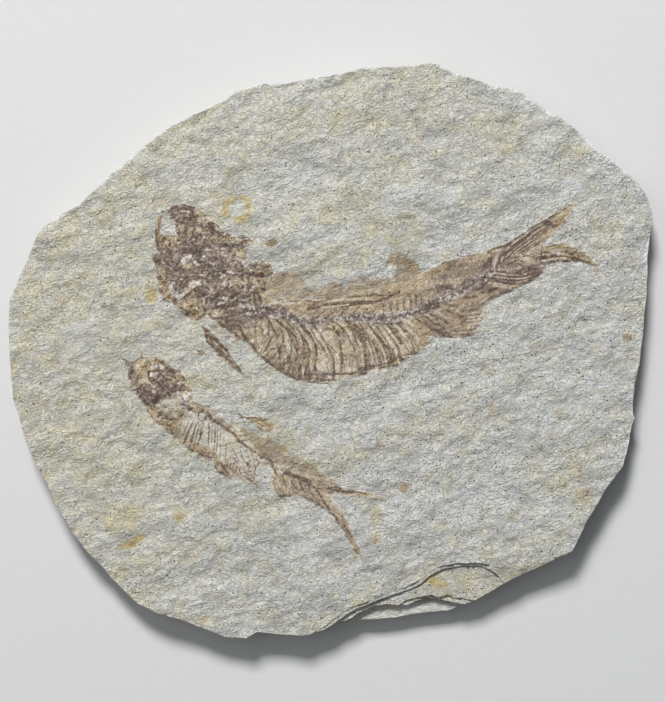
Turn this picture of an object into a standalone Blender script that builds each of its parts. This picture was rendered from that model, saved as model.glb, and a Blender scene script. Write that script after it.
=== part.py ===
"""A fossil slab: a broken plate of limestone with a large and a small herring-like fish in its face.

The slab lies flat on its underside. X runs along its longer side and Y along its shorter side, and the
origin is on the underside, below the middle of the slab's box. The large fish heads to -X, and its back
is towards +Y. Lengths here are in millimetres, and MM turns them into metres. Outlines and single bones
are points of a drawing, which drawn() brings to real size.
"""
import math

import bmesh
import bpy
from mathutils import Matrix, Vector

MM = 0.001

# The slab.
THICKNESS = 9.0             # underside to the mean height of the bedding face
FLAT_ANGLE = 1.5            # facets that turn less than this, in degrees, become one
ROCK_CELL = 8.0             # spacing of the bedding face's facets
TALL = 3.0                  # how far a cutter runs past what it cuts
RIM_RINGS = ((0.0, 1.7), (3.7, 0.0), (7.4, 0.2), (THICKNESS + TALL, 1.0))   # height, inset
RIM_UNEVENNESS = 0.5        # share by which a rim point's inset varies

# Heights of the broken ledges at the slab's lower right edge.
CHIP_HEIGHT = THICKNESS - 0.35
THIN_SHELF = THICKNESS - 0.7
SHELF = THICKNESS - 1.7
FLAKED_SHELF = THICKNESS - 2.2
LOW_SHELF = THICKNESS - 4.6

# The fish.
BONE_RISE = 0.22            # how far the bed of bone stands above the rock
BONE_DEPTH = 0.9            # how deep it is set in the rock
BONE_CELL = 4.0             # spacing of the facets of the bed of bone
GAP = 0.3                   # clearance between the bone and its recess in the rock
SIDES = 0                   # bevel resolution of a bone: four sides, one edge upwards
LUMP_ROUNDS = 2             # subdivisions of a skull lump
WELD = 0.001                # points closer than this are one

# Each kind of bone: its radius at the start, its radius at the end, and its axis's height above the rock.
LARGE_SKULL_BONE = (0.5, 0.35, 0.2)
LARGE_BACKBONE = (0.62, 0.4, 0.25)
LARGE_KEEL = (0.6, 0.4, 0.15)
LARGE_RIB = (0.3, 0.22, 0.18)
LARGE_SPINE_BONE = (0.26, 0.18, 0.15)
LARGE_BACK_FIBRE = (0.32, 0.2, 0.2)
LARGE_TAIL_RAY = (0.42, 0.16, 0.18)
LARGE_ANAL_RAY = (0.28, 0.16, 0.15)
LARGE_SCUTE = (0.42, 0.15, 0.15)
SMALL_SKULL_BONE = (0.4, 0.28, 0.15)
SMALL_BACKBONE = (0.5, 0.34, 0.2)
SMALL_KEEL = (0.4, 0.35, 0.12)
SMALL_RIB = (0.24, 0.17, 0.12)
SMALL_SPINE_BONE = (0.24, 0.16, 0.12)
SMALL_TAIL_RAY = (0.36, 0.15, 0.14)
LEAF_MIDRIB = (0.38, 0.17, 0.14)
LEAF_RAY = (0.29, 0.16, 0.12)

# How many bones repeat along the fish.
LARGE_RIBS = 22
LARGE_NEURAL_SPINES = 18
LARGE_HAEMAL_SPINES = 9
LARGE_ANAL_RAYS = 6
LARGE_SCUTES = 14
SMALL_RIBS = 11
SMALL_HAEMAL_SPINES = 9

# The drawing that the lists below hold points of. Its X runs to the right and its Y runs down, in units of
# its own, and the slab's real length says how large a unit is.
SLAB_LENGTH = 161.125
DRAWN_LENGTH = 644.5                # the slab's length on the drawing
DRAWN_MIDDLE = (330.75, 351.25)     # the middle of the slab's box on the drawing
DRAWN_UNIT = SLAB_LENGTH / DRAWN_LENGTH


def drawn(points):
    """Points of the drawing in millimetres, to a tenth, from the middle of the slab's box."""
    middle_x, middle_y = DRAWN_MIDDLE
    return [(round((x - middle_x) * DRAWN_UNIT, 1), round((middle_y - y) * DRAWN_UNIT, 1))
            for x, y in points]


def drawn_lines(lines):
    """Several lines of the drawing in millimetres."""
    return [drawn(line) for line in lines]


def drawn_lumps(lumps):
    """Lumps whose middles are points of the drawing, and whose sizes are in millimetres."""
    return [(*drawn([(x, y)])[0], *sizes) for x, y, *sizes in lumps]


SLAB_OUTLINE = drawn([
    (8.5, 325), (9, 300), (21, 272), (30, 251), (38, 233), (45, 225), (60, 214), (80, 203), (90, 192),
    (106, 178), (113, 170), (121, 166), (135, 153), (160, 133), (172, 125), (185, 119), (196, 112),
    (215, 104), (226, 99), (231, 93), (246, 87), (265, 82.5), (280, 83), (299, 79), (327, 75.5),
    (348, 71), (365, 66.5), (409, 65.8), (421, 62.5), (437, 63), (453, 72), (470, 77), (494, 86),
    (508, 86.3), (525, 93.5), (529, 100), (538, 103), (550, 113), (557, 114.5), (570, 123), (584, 137),
    (602, 153), (620, 167), (639, 183), (646, 193), (652, 206), (653, 226), (650.5, 236), (648, 258),
    (648, 298), (643.5, 332), (641, 362), (634, 398), (633, 412), (635.5, 418), (632, 425), (628, 450),
    (623, 467), (610, 484), (591, 515.5), (572, 552.5), (540, 567), (517, 578), (498, 588.5),
    (477, 600), (450, 612), (418, 615), (392, 619.5), (354, 622), (333, 627), (318.5, 633),
    (304, 636.5), (258, 633.5), (247, 640), (225, 637.5), (208, 630.5), (180.5, 620), (151, 612.5),
    (138, 605), (125, 592.5), (106, 573), (87, 552), (72, 533), (61.5, 516), (52, 497), (32, 456.5),
    (24.5, 439.5), (19.5, 420.5), (12, 397), (9.5, 357),
])

# The broken edges of the layers at the lower right, each from left to right.
TOP_STEP = drawn([
    (310, 634), (326, 624.5), (342, 612), (353, 605.5), (374, 597.5), (388, 592), (406, 586),
    (418, 580), (428, 571), (441, 565), (460, 562), (479, 562), (493, 565.5), (506, 570), (516, 575),
    (523, 579),
])
THIN_STEP = drawn([
    (313, 635.3), (329, 626.5), (345, 614.5), (356, 608), (376, 600.5), (391, 594.5), (409, 589),
    (421, 583), (430, 574.5), (443, 568), (461, 565.3), (479, 565.3), (489, 568.5), (497, 575),
    (503, 583),
])
FLAKE_STEP = drawn([
    (400, 603.5), (405, 600), (413, 598), (420, 597), (431, 594), (438, 597.3), (448, 594.5),
    (453, 598), (462, 597.5), (480.5, 602.5),
])
LOW_STEP = drawn([
    (316, 637.5), (335.5, 625), (351.5, 618), (358, 613), (374, 606), (386.5, 604), (406, 605.4),
    (413.6, 603), (425, 599), (433, 599), (445.5, 601), (458, 603.5), (473, 605),
])
CORNER_CHIP = drawn([
    (514.8, 577), (518, 570.5), (520.5, 567), (525, 569), (529, 567.5), (538.8, 571),
])

# Outlines of the beds of bone.
LARGE_FISH_OUTLINE = drawn([
    (164, 210), (158, 220), (155.5, 232), (156, 243), (158, 252), (152.5, 255), (156, 264), (158, 278),
    (159, 291), (164, 300), (173, 303), (181, 312), (190, 318.5), (198, 321.5), (205, 318), (208, 313),
    (213, 321), (222, 327), (231, 333), (238, 341), (244, 341), (249, 347), (256, 353), (264, 360),
    (272, 365.5), (280, 372), (288, 377), (297, 381), (312, 383), (330, 383), (345, 379), (361, 375.5),
    (378, 371.5), (396, 367), (408, 358), (420, 353), (428, 347), (431, 337), (443, 337.5), (458, 338),
    (473, 335.5), (477, 327), (482, 319), (482, 309), (488, 301.5), (500, 296.5), (514, 290),
    (528, 282.5), (538, 277.5), (543, 270), (548, 263.5), (560, 261.5), (575, 262), (586, 265),
    (596, 269), (599, 266), (589, 258), (578, 249.5), (566, 244.5), (554, 244), (542, 247), (547, 239),
    (556, 231.5), (563, 225), (568, 216), (573, 208), (576, 203), (567, 205.5), (556, 213), (546, 218),
    (534, 225), (520, 234.5), (508, 242), (496, 246.5), (480, 253), (462, 256.5), (444, 261.5),
    (430, 268), (421, 274), (411, 281), (398, 283.5), (386, 285.5), (374, 289), (360, 291.5),
    (345, 297), (325, 300.5), (305, 299), (288, 300.5), (274, 297), (266, 291), (266.5, 280),
    (274, 273.5), (271, 264.5), (263, 260.5), (252, 263), (246, 260), (247, 252), (244, 248.5),
    (254, 243), (244, 235.5), (238, 238.5), (229, 234), (221, 228), (212, 221.5), (204, 211.5),
    (195, 207), (183, 205), (172, 206), (169.5, 212), (171, 219), (176, 226), (177, 235), (168, 237),
    (162, 232), (162.5, 222),
])
SMALL_FISH_OUTLINE = drawn([
    (123, 356), (126, 363.5), (128.5, 369), (127.5, 377), (131, 384), (131.5, 389.5), (137, 394),
    (142, 402), (147, 407), (148, 413), (154, 420), (162, 426), (168, 432), (174, 437.5), (182, 443),
    (190, 449.5), (198, 454), (206, 458), (212.5, 460), (215, 466), (219, 472), (226, 476.5),
    (234, 479.5), (241, 478), (246, 483), (252, 485), (258, 487), (260.5, 480), (260, 470),
    (266, 466.5), (272, 470), (271.5, 480), (274, 488), (279, 496), (289, 496), (297, 494.5),
    (307, 500), (317, 505), (325, 509), (333, 517), (341, 527), (347, 536), (351, 545), (356, 553),
    (363, 553), (359, 545), (353, 536), (350, 526), (346, 517), (341, 508), (334, 499), (329, 493),
    (335, 491.5), (344, 495), (358, 496.5), (372, 498.5), (386, 501), (388, 497.5), (374, 492.5),
    (358, 489.5), (344, 486.5), (334, 481.5), (320, 477), (306, 474), (294, 469), (283, 465),
    (275, 459), (264, 457), (258, 448.5), (250, 441), (243, 432.5), (234, 425.5), (223.5, 418),
    (216.8, 411), (209.5, 404.5), (200, 402.5), (193, 400), (193, 390), (188, 378), (181, 370.5),
    (173, 366), (166, 360), (156, 356.5), (146, 356), (143.5, 350.5), (140, 357), (134, 361.5),
    (129, 360),
])
PECTORAL_OUTLINE = drawn([
    (203, 326), (206.5, 326.5), (213, 332), (222, 341), (229, 350), (233, 358), (240, 366),
    (246, 375.5), (243.5, 375.5), (236, 370), (228, 362), (219, 356), (212, 349), (206, 339),
    (203.5, 331),
])
SMALL_DORSAL_OUTLINE = drawn([
    (237, 413), (240, 413), (247, 416), (255, 415.5), (265, 418), (273, 421.5), (275, 425), (271, 431),
    (262, 430.5), (256, 425), (249, 420.5), (241, 417),
])

# Lines of the large fish's body, each from the head to the tail.
LARGE_SPINE = drawn([
    (245, 312), (257, 308.5), (268, 307), (281, 311), (290, 317), (300, 321), (312, 322.5), (328, 321),
    (343, 318.5), (361, 318), (378, 319.5), (396, 316), (412, 312.5), (424, 308.5), (434, 303),
    (446, 296), (459, 289.5), (470, 285), (482, 279), (496, 271), (503, 266),
])
LARGE_BELLY = drawn([
    (244, 337), (254, 347.5), (268, 360), (286, 372.5), (296, 377.3), (311, 379.5), (329, 379.5),
    (343, 376.5), (361, 372), (378, 368), (396, 363), (408, 355), (425, 345.3),
])
LARGE_BACK = drawn([
    (266, 297.5), (286, 303), (305, 302), (325, 303), (345, 300), (360, 295), (375, 292), (386, 289),
    (400, 287), (412, 284), (430, 272), (443, 265.5), (459, 261), (478, 258), (490, 253.5), (500, 250),
])
LARGE_UNDERLINE = drawn([
    (396, 362), (412, 354), (425, 347), (436, 334), (456, 335), (474, 330), (480, 310), (490, 298),
    (510.8, 287.3),
])

# Single bones: the line each one follows.
LARGE_SKULL_BONES = drawn_lines([
    [(164, 212), (159, 221), (158, 232), (158.5, 243), (160, 252)],
    [(172.5, 209), (180, 207.3), (188, 208.5), (196, 210.5)],
    [(172.5, 213), (174, 220), (179, 228), (181, 238)],
    [(209, 223), (210.5, 230), (214, 236), (220, 237), (226, 235)],
    [(197, 211.3), (204, 216), (213, 225), (224, 233), (237, 241), (250, 243)],
    [(182, 252), (187, 246), (193, 245), (199, 249), (204, 257)],
    [(210, 273), (219, 271), (227, 275), (240, 273)],
    [(247, 266), (250.5, 278), (249, 288), (243, 297), (235, 304), (226, 309)],
    [(186, 277), (194, 276.5), (202, 279), (207, 284)],
    [(172, 282), (180, 291), (189, 296), (198, 292)],
    [(172, 301), (181.5, 309.5), (192, 316.5), (202.8, 316.5)],
    [(210.8, 312), (216, 318), (224, 318), (233, 317)],
    [(214, 318), (222, 325.3), (231, 331), (238, 338)],
    [(241, 318), (244, 331), (249, 343)],
    [(250, 270), (258, 267), (267, 270), (271, 272)],
])
LARGE_BACK_FIBRES = drawn_lines([
    [(303, 303), (322, 305), (342, 303), (362, 299), (382, 292), (398, 290)],
    [(310, 307), (330, 308), (352, 305.5), (372, 301.5), (392, 295.3)],
    [(352, 298), (368, 294.5), (384, 289)],
])
LARGE_TAIL_RAYS = drawn_lines([
    [(497, 251), (512, 242.5), (534, 228), (552, 217.3), (571, 207.3)],
    [(498, 256), (514, 247.3), (536, 232), (553, 221.5), (567, 212)],
    [(500, 261), (518, 251.3), (538, 236), (554, 226), (563, 217.5)],
    [(505, 264), (522, 254.5), (537, 242), (551, 231.3)],
    [(512, 267), (527, 261.3), (540, 254.5), (556, 247.3), (572, 248.5)],
    [(513, 270.5), (529, 265.5), (542.5, 259.3), (557, 252.5), (573, 253.5), (588, 261)],
    [(539.5, 265.5), (556, 259), (573, 259), (591.5, 264.5)],
    [(484, 283), (503, 280), (522, 272.5), (540, 268)],
    [(478, 289), (500, 285), (520, 279), (538, 273.5)],
    [(476, 294.5), (492, 291.3), (512, 285.3), (530.8, 279.3)],
])
SMALL_SPINE = drawn([
    (194, 405), (205, 409), (213, 418), (225, 427), (237, 436), (248, 446), (258, 454), (271, 462),
    (280, 469), (293, 475), (307, 481), (319, 486),
])
SMALL_BELLY = drawn([
    (160, 422), (168, 429.5), (176, 436), (185, 442), (194, 449), (204, 454.5), (212, 457.5),
])
SMALL_SKULL_BONES = drawn_lines([
    [(125, 359), (129, 365.5), (131, 374), (134, 385), (139, 392)],
    [(142.5, 355), (138.5, 360), (133, 365)],
    [(150, 370), (151, 377), (155, 381), (161, 379), (162, 373), (157, 369)],
    [(164, 415.5), (171, 417), (179, 415), (186, 410), (190, 402)],
    [(150, 360), (160, 362), (168, 368), (172, 377)],
    [(141, 393), (150, 400), (160, 398), (172, 393), (183, 390)],
    [(177, 371.5), (184, 379), (188, 388), (189, 397)],
    [(156, 419), (166, 426), (174, 434), (182, 437)],
    [(216.5, 463), (220.8, 469.3), (229, 475.3)],
])
SMALL_TAIL_RAYS = drawn_lines([
    [(318, 487), (335, 486), (354, 491.3), (372, 495.3), (384, 499)],
    [(321, 481), (337, 484.5), (360, 491)],
    [(319, 491), (325, 503), (336, 516), (345, 530), (352.5, 543), (358.5, 551.3)],
    [(321, 496), (330, 503.5), (340, 514.5)],
    [(276.5, 475.3), (281, 491.3)],
    [(283, 477.3), (288.5, 493)],
    [(291, 481), (297.5, 493)],
    [(300.5, 484.5), (306.8, 496)],
])

PECTORAL_MIDRIB = drawn([
    (205, 329), (213, 339), (222, 349), (231, 360), (241, 371),
])
PECTORAL_RAYS = drawn_lines([
    [(206, 328.5), (216, 338), (224.8, 347.3), (232, 357.5)],
    [(206, 333.5), (213.5, 345.3), (222, 353.5), (230.5, 362)],
])
SMALL_DORSAL_RAYS = drawn_lines([
    [(241, 415), (250, 418), (260, 423), (270, 428)],
    [(246.8, 417.5), (256.5, 418.5), (264.5, 421), (271.5, 424.5)],
])

# Lumps of the skulls: a point of the drawing, then the half length, half width and height above the rock
# in millimetres, and the turn in degrees.
LARGE_SKULL_LUMPS = drawn_lumps([
    (186, 213, 3.0, 1.5, 0.9, 0.0), (186, 230, 2.2, 2.2, 0.7, 0.0), (174, 260, 3.6, 2.8, 0.8, 0.0),
    (200, 243, 3.2, 2.0, 0.9, -10.0), (217, 260, 4.2, 2.6, 1.0, 0.0),
    (230, 241.5, 3.0, 1.2, 0.7, -15.0), (213, 291, 3.8, 2.5, 0.9, 0.0),
    (235, 287.3, 2.8, 3.0, 0.8, 0.0), (184, 289, 2.6, 1.7, 0.7, -10.0),
    (190, 308, 2.8, 1.3, 0.6, -25.0), (223, 321.5, 2.2, 1.0, 0.6, -30.0),
    (261, 269.5, 2.0, 1.4, 0.9, 0.0), (258.8, 285.5, 1.2, 1.1, 0.8, 0.0),
])
SMALL_SKULL_LUMPS = drawn_lumps([
    (151, 396, 2.4, 1.5, 0.8, -10.0), (163, 372, 2.6, 1.9, 0.7, 0.0), (177, 384, 2.2, 2.0, 0.8, 0.0),
    (140, 374, 1.7, 2.2, 0.6, 0.0), (172, 406, 2.8, 1.8, 0.7, 0.0), (185, 399, 1.1, 1.1, 0.9, 0.0),
    (169, 425.5, 2.0, 0.9, 0.6, -35.0),
])


def rock_height(x, y):
    """Height of the bedding face: long shallow swells across the slab."""
    swell = 0.14 * math.sin(0.155 * x + 0.06 * y + 0.6)
    roll = 0.10 * math.sin(0.22 * y - 0.07 * x + 1.9)
    ripple = 0.06 * math.sin(0.31 * x + 0.40 * y)
    return THICKNESS + swell + roll + ripple


def along(line, share):
    """The point at a share of a line's length, from 0 to 1."""
    points = [Vector(point) for point in line]
    spans = [(b - a).length for a, b in zip(points, points[1:])]
    left = max(0.0, min(1.0, share)) * sum(spans)
    for start, end, span in zip(points, points[1:], spans):
        if left <= span:
            return start.lerp(end, left / span)
        left -= span
    return points[-1]


def level(line, x):
    """A line's Y at an X."""
    for (x0, y0), (x1, y1) in zip(line, line[1:]):
        if x <= x1:
            return y0 + (y1 - y0) * max(0.0, x - x0) / (x1 - x0)
    return line[-1][1]


def grown(outline, by):
    """A closed outline moved outwards by a distance, with its sharp corners held back."""
    count = len(outline)
    area = sum(a[0] * b[1] - b[0] * a[1] for a, b in zip(outline, outline[1:] + outline[:1]))
    turn = 1.0 if area > 0.0 else -1.0
    ring = []
    for index, point in enumerate(outline):
        here = Vector(point)
        arriving = (here - Vector(outline[index - 1])).normalized()
        leaving = (Vector(outline[(index + 1) % count]) - here).normalized()
        outward = Vector((arriving.y + leaving.y, -arriving.x - leaving.x)) * turn
        reach = max(outward.length_squared / 2.0, 0.6)
        ring.append(here + outward * by / reach)
    return ring


def new_collection(name):
    """A collection in the scene."""
    collection = bpy.data.collections.new(name)
    bpy.context.scene.collection.children.link(collection)
    return collection


def add_object(name, mesh, collection):
    """An object for a mesh, in a collection."""
    thing = bpy.data.objects.new(name, mesh)
    collection.objects.link(thing)
    return thing


def from_bmesh(name, bm, collection):
    """An object made from a bmesh, with its faces pointing out."""
    bmesh.ops.recalc_face_normals(bm, faces=bm.faces)
    mesh = bpy.data.meshes.new(name)
    bm.to_mesh(mesh)
    bm.free()
    return add_object(name, mesh, collection)


def prism(name, outline, low, high, collection):
    """An upright solid between two heights, with a closed outline."""
    bm = bmesh.new()
    floor = bm.faces.new([bm.verts.new((x * MM, y * MM, low * MM)) for x, y in outline])
    raised = bmesh.ops.extrude_face_region(bm, geom=[floor])["geom"]
    roof = [part for part in raised if isinstance(part, bmesh.types.BMVert)]
    bmesh.ops.translate(bm, verts=roof, vec=(0.0, 0.0, (high - low) * MM))
    return from_bmesh(name, bm, collection)


def broken_rim(name, collection):
    """The slab's outline lofted through its rings: the edge leans in above and below, unevenly."""
    bm = bmesh.new()
    rings = []
    for height, inset in RIM_RINGS:
        ring = []
        for index, (x, y) in enumerate(SLAB_OUTLINE):
            uneven = 1.0 + RIM_UNEVENNESS * math.sin(1.9 * index + height)
            pull = 1.0 - inset * uneven / math.hypot(x, y)
            ring.append(bm.verts.new((x * pull * MM, y * pull * MM, height * MM)))
        rings.append(ring)
    loops = [[bm.edges.new((a, b)) for a, b in zip(ring, ring[1:] + ring[:1])] for ring in rings]
    for lower, upper in zip(loops, loops[1:]):
        bmesh.ops.bridge_loops(bm, edges=lower + upper)
    bm.faces.new(rings[0])
    bm.faces.new(rings[-1])
    return from_bmesh(name, bm, collection)


def bedding_block(name, outline, cell, depth, lift, collection):
    """A block around an outline whose top follows the bedding face, lifted by a height."""
    margin = cell
    low = Vector((min(p[0] for p in outline) - margin, min(p[1] for p in outline) - margin))
    size = Vector((max(p[0] for p in outline) + margin, max(p[1] for p in outline) + margin)) - low
    bm = bmesh.new()
    bmesh.ops.create_grid(bm, x_segments=math.ceil(size.x / cell), y_segments=math.ceil(size.y / cell),
                          size=0.5)
    for vert in bm.verts:
        x = low.x + (vert.co.x + 0.5) * size.x
        y = low.y + (vert.co.y + 0.5) * size.y
        vert.co = Vector((x, y, rock_height(x, y) + lift)) * MM
    rim = [edge for edge in bm.edges if edge.is_boundary]
    skirt = bmesh.ops.extrude_edge_only(bm, edges=rim)["geom"]
    for part in skirt:
        if isinstance(part, bmesh.types.BMVert):
            part.co.z = (THICKNESS - depth) * MM
    bmesh.ops.holes_fill(bm, edges=[edge for edge in bm.edges if edge.is_boundary])
    return from_bmesh(name, bm, collection)


def combine(target, tool, operation, own_overlaps=False):
    """A Boolean of a solid with a tool."""
    boolean = target.modifiers.new(f"{operation.lower()} {tool.name}", "BOOLEAN")
    boolean.operation = operation
    boolean.object = tool
    boolean.solver = "EXACT"
    boolean.use_self = own_overlaps


def merge_flat(target):
    """Joins the facets of a solid that lie in one plane."""
    flat = target.modifiers.new("merge flat", "DECIMATE")
    flat.decimate_type = "DISSOLVE"
    flat.angle_limit = math.radians(FLAT_ANGLE)


def bones(name, strands, lumps, collection):
    """One mesh of closed bones on the bedding face.

    A strand is its line, its radius at the start and at the end, and the height of its axis above the
    rock. A lump is a squashed ball.
    """
    curve = bpy.data.curves.new(name, "CURVE")
    curve.dimensions = "3D"
    curve.bevel_depth = MM
    curve.bevel_resolution = SIDES
    curve.use_fill_caps = True
    for line, start_radius, end_radius, height in strands:
        spline = curve.splines.new("POLY")
        spline.points.add(len(line) - 1)
        for index, (x, y) in enumerate(line):
            share = index / (len(line) - 1)
            spline.points[index].co = (x * MM, y * MM, (rock_height(x, y) + height) * MM, 1.0)
            spline.points[index].radius = start_radius + (end_radius - start_radius) * share
    tubes = add_object(f"{name} tubes", curve, collection)
    depsgraph = bpy.context.evaluated_depsgraph_get()
    tube_mesh = bpy.data.meshes.new_from_object(tubes.evaluated_get(depsgraph))
    bpy.data.objects.remove(tubes)
    bm = bmesh.new()
    bm.from_mesh(tube_mesh)
    bmesh.ops.remove_doubles(bm, verts=bm.verts, dist=WELD * MM)
    for x, y, half_length, half_width, height, turn in lumps:
        place = Matrix.Translation(Vector((x, y, rock_height(x, y))) * MM)
        spin = Matrix.Rotation(math.radians(turn), 4, "Z")
        stretch = Matrix.Diagonal((half_length * MM, half_width * MM, height * MM, 1.0))
        bmesh.ops.create_icosphere(bm, subdivisions=LUMP_ROUNDS, radius=1.0,
                                   matrix=place @ spin @ stretch)
    return from_bmesh(name, bm, collection)


def spaced(count, first, last):
    """Values spread evenly from first to last."""
    return [first + (last - first) * index / (count - 1) for index in range(count)]


def bundle(lines, kind):
    """Strands of one kind of bone along several lines."""
    return [(line, *kind) for line in lines]


def large_fish_strands():
    """The ribs, spines, scutes, rays and skull bones of the large fish."""
    strands = bundle(LARGE_SKULL_BONES, LARGE_SKULL_BONE)
    strands += bundle(LARGE_BACK_FIBRES, LARGE_BACK_FIBRE)
    strands += bundle(LARGE_TAIL_RAYS, LARGE_TAIL_RAY)
    strands += bundle([LARGE_SPINE], LARGE_BACKBONE)
    strands += bundle([LARGE_BELLY], LARGE_KEEL)
    ribs = []
    for index, x in enumerate(spaced(LARGE_RIBS, -18.5, 17.5)):
        share = index / (LARGE_RIBS - 1)
        root = Vector((x, level(LARGE_SPINE, x) - 0.3))
        foot_x = x + 0.2 + 3.4 * min(1.0, 2.0 * share)          # the front ribs curl back to the head
        foot = Vector((foot_x, level(LARGE_BELLY, foot_x) + 0.4))
        elbow = Vector((x + 2.6 + 0.4 * share, (root.y + foot.y) / 2.0))
        ribs.append([root, elbow, foot])
    strands += bundle(ribs, LARGE_RIB)
    for x in spaced(LARGE_NEURAL_SPINES, -13.0, 37.0):
        tip_x = x + 2.6
        line = [(x, level(LARGE_SPINE, x) + 0.3), (tip_x, level(LARGE_BACK, tip_x) - 0.6)]
        strands += bundle([line], LARGE_SPINE_BONE)
    for x in spaced(LARGE_HAEMAL_SPINES, 19.5, 36.5):
        root = Vector((x, level(LARGE_SPINE, x) - 0.3))
        underneath = Vector((x + 3.0, level(LARGE_UNDERLINE, x + 3.0)))
        strands += bundle([[root, (underneath.x, root.y + 0.85 * (underneath.y - root.y))]],
                          LARGE_SPINE_BONE)
    for index, y in enumerate(spaced(LARGE_ANAL_RAYS, 4.4, 10.4)):
        strands += bundle([[(26.2 + 0.9 * index, y + 0.4), (35.4 + 0.35 * index, y)]], LARGE_ANAL_RAY)
    for share in spaced(LARGE_SCUTES, 0.06, 0.92):
        root = along(LARGE_BELLY, share)
        strands += bundle([[root, root + Vector((1.5, -0.25))]], LARGE_SCUTE)
    return strands


def small_fish_strands():
    """The ribs, spines, rays and skull bones of the small fish."""
    strands = bundle(SMALL_SKULL_BONES, SMALL_SKULL_BONE)
    strands += bundle(SMALL_TAIL_RAYS, SMALL_TAIL_RAY)
    strands += bundle([SMALL_SPINE], SMALL_BACKBONE)
    strands += bundle([SMALL_BELLY], SMALL_KEEL)
    for index, share in enumerate(spaced(SMALL_RIBS, 0.0, 1.0)):
        root = along(SMALL_SPINE, 0.05 + 0.37 * share) - Vector((0.2, 0.5))
        foot = along(SMALL_BELLY, 0.5 + 0.55 * share) + Vector((2.8, -1.0)) * share
        elbow = (root + foot) / 2.0 + Vector((0.25, 0.0))
        strands += bundle([[root, elbow, foot]], SMALL_RIB)
    for share in spaced(SMALL_HAEMAL_SPINES, 0.46, 0.9):
        root = along(SMALL_SPINE, share)
        strands += bundle([[root, root + Vector((0.5, -2.2))]], SMALL_SPINE_BONE)
    return strands


def stone(name, colour, roughness):
    """A rock or bone material."""
    material = bpy.data.materials.new(name)
    material.use_nodes = True
    shader = material.node_tree.nodes["Principled BSDF"]
    shader.inputs["Base Color"].default_value = (*colour, 1.0)
    shader.inputs["Roughness"].default_value = roughness
    shader.inputs["Metallic"].default_value = 0.0
    return material


def build_slab(parts, cutters):
    """The slab: a bedding block trimmed to its broken rim, with ledges and a recess for each bone bed."""
    slab = bedding_block("slab", SLAB_OUTLINE, ROCK_CELL, THICKNESS, 0.0, parts)
    combine(slab, broken_rim("slab rim", cutters), "INTERSECT")
    below = -THICKNESS * 10.0
    ledges = (("corner chip", CORNER_CHIP, CHIP_HEIGHT), ("thin step", TOP_STEP, THIN_SHELF),
              ("top step", THIN_STEP, SHELF), ("flake step", FLAKE_STEP, FLAKED_SHELF),
              ("low step", LOW_STEP, LOW_SHELF))
    for name, edge, height in ledges:
        outside = [(edge[-1][0] + TALL, below), (edge[0][0] - TALL, below)]
        combine(slab, prism(name, edge + outside, height, THICKNESS + TALL, cutters), "DIFFERENCE")
    for name, outline in BONE_BEDS:
        recess = prism(f"{name} recess", grown(outline, GAP), THICKNESS - BONE_DEPTH - GAP,
                       THICKNESS + TALL, cutters)
        combine(slab, recess, "DIFFERENCE")
    merge_flat(slab)
    return slab


def build_fossil(name, outline, strands, lumps, parts, cutters):
    """A bed of bone in the bedding face, with its bones fused on and its edge trimmed to the outline."""
    fossil = bedding_block(name, outline, BONE_CELL, BONE_DEPTH, BONE_RISE, parts)
    combine(fossil, bones(f"{name} bones", strands, lumps, cutters), "UNION", own_overlaps=True)
    edge = prism(f"{name} edge", outline, 0.0, THICKNESS + TALL, cutters)
    combine(fossil, edge, "INTERSECT")
    merge_flat(fossil)
    return fossil


BONE_BEDS = (
    ("large_fish", LARGE_FISH_OUTLINE),
    ("large_fish_pectoral_fin", PECTORAL_OUTLINE),
    ("small_fish", SMALL_FISH_OUTLINE),
    ("small_fish_dorsal_fin", SMALL_DORSAL_OUTLINE),
)


def main():
    """Builds the slab and its fossils."""
    for old in list(bpy.data.objects):
        bpy.data.objects.remove(old)
    parts = new_collection("fossil fish slab")
    cutters = new_collection("cutters")

    limestone = stone("limestone", (0.56, 0.54, 0.49), 0.9)
    bone = stone("fossil bone", (0.23, 0.165, 0.12), 0.6)

    bone_work = {
        "large_fish": (large_fish_strands(), LARGE_SKULL_LUMPS),
        "large_fish_pectoral_fin": (
            bundle([PECTORAL_MIDRIB], LEAF_MIDRIB) + bundle(PECTORAL_RAYS, LEAF_RAY), []),
        "small_fish": (small_fish_strands(), SMALL_SKULL_LUMPS),
        "small_fish_dorsal_fin": (bundle(SMALL_DORSAL_RAYS, LEAF_RAY), []),
    }
    slab = build_slab(parts, cutters)
    slab.data.materials.append(limestone)
    for name, outline in BONE_BEDS:
        strands, lumps = bone_work[name]
        fossil = build_fossil(name, outline, strands, lumps, parts, cutters)
        fossil.data.materials.append(bone)
    for cutter in cutters.objects:
        cutter.hide_render = True
        cutter.display_type = "WIRE"


main()
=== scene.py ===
"""Fossil fish slab: a broken plate of limestone, with a large and a small herring-like fish in its face.

The file is laid out as an add-on and runs as a script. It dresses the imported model, the frame: the slab
and the four beds of bone are built again with their fine surface, each in the place of its solid.
Lengths are in millimetres, in the frame's own axes: X runs towards the large fish's tail, Y towards its
back, and Z up out of the split face. MM turns them into metres. The bones, patches and stains are drawn on
a sheet, stroke by stroke, and a Window brings the sheet's spots to millimetres.
"""
import math

import bmesh
import bpy
import numpy as np
from bpy.props import FloatProperty, FloatVectorProperty, PointerProperty
from mathutils import Matrix, Vector


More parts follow.
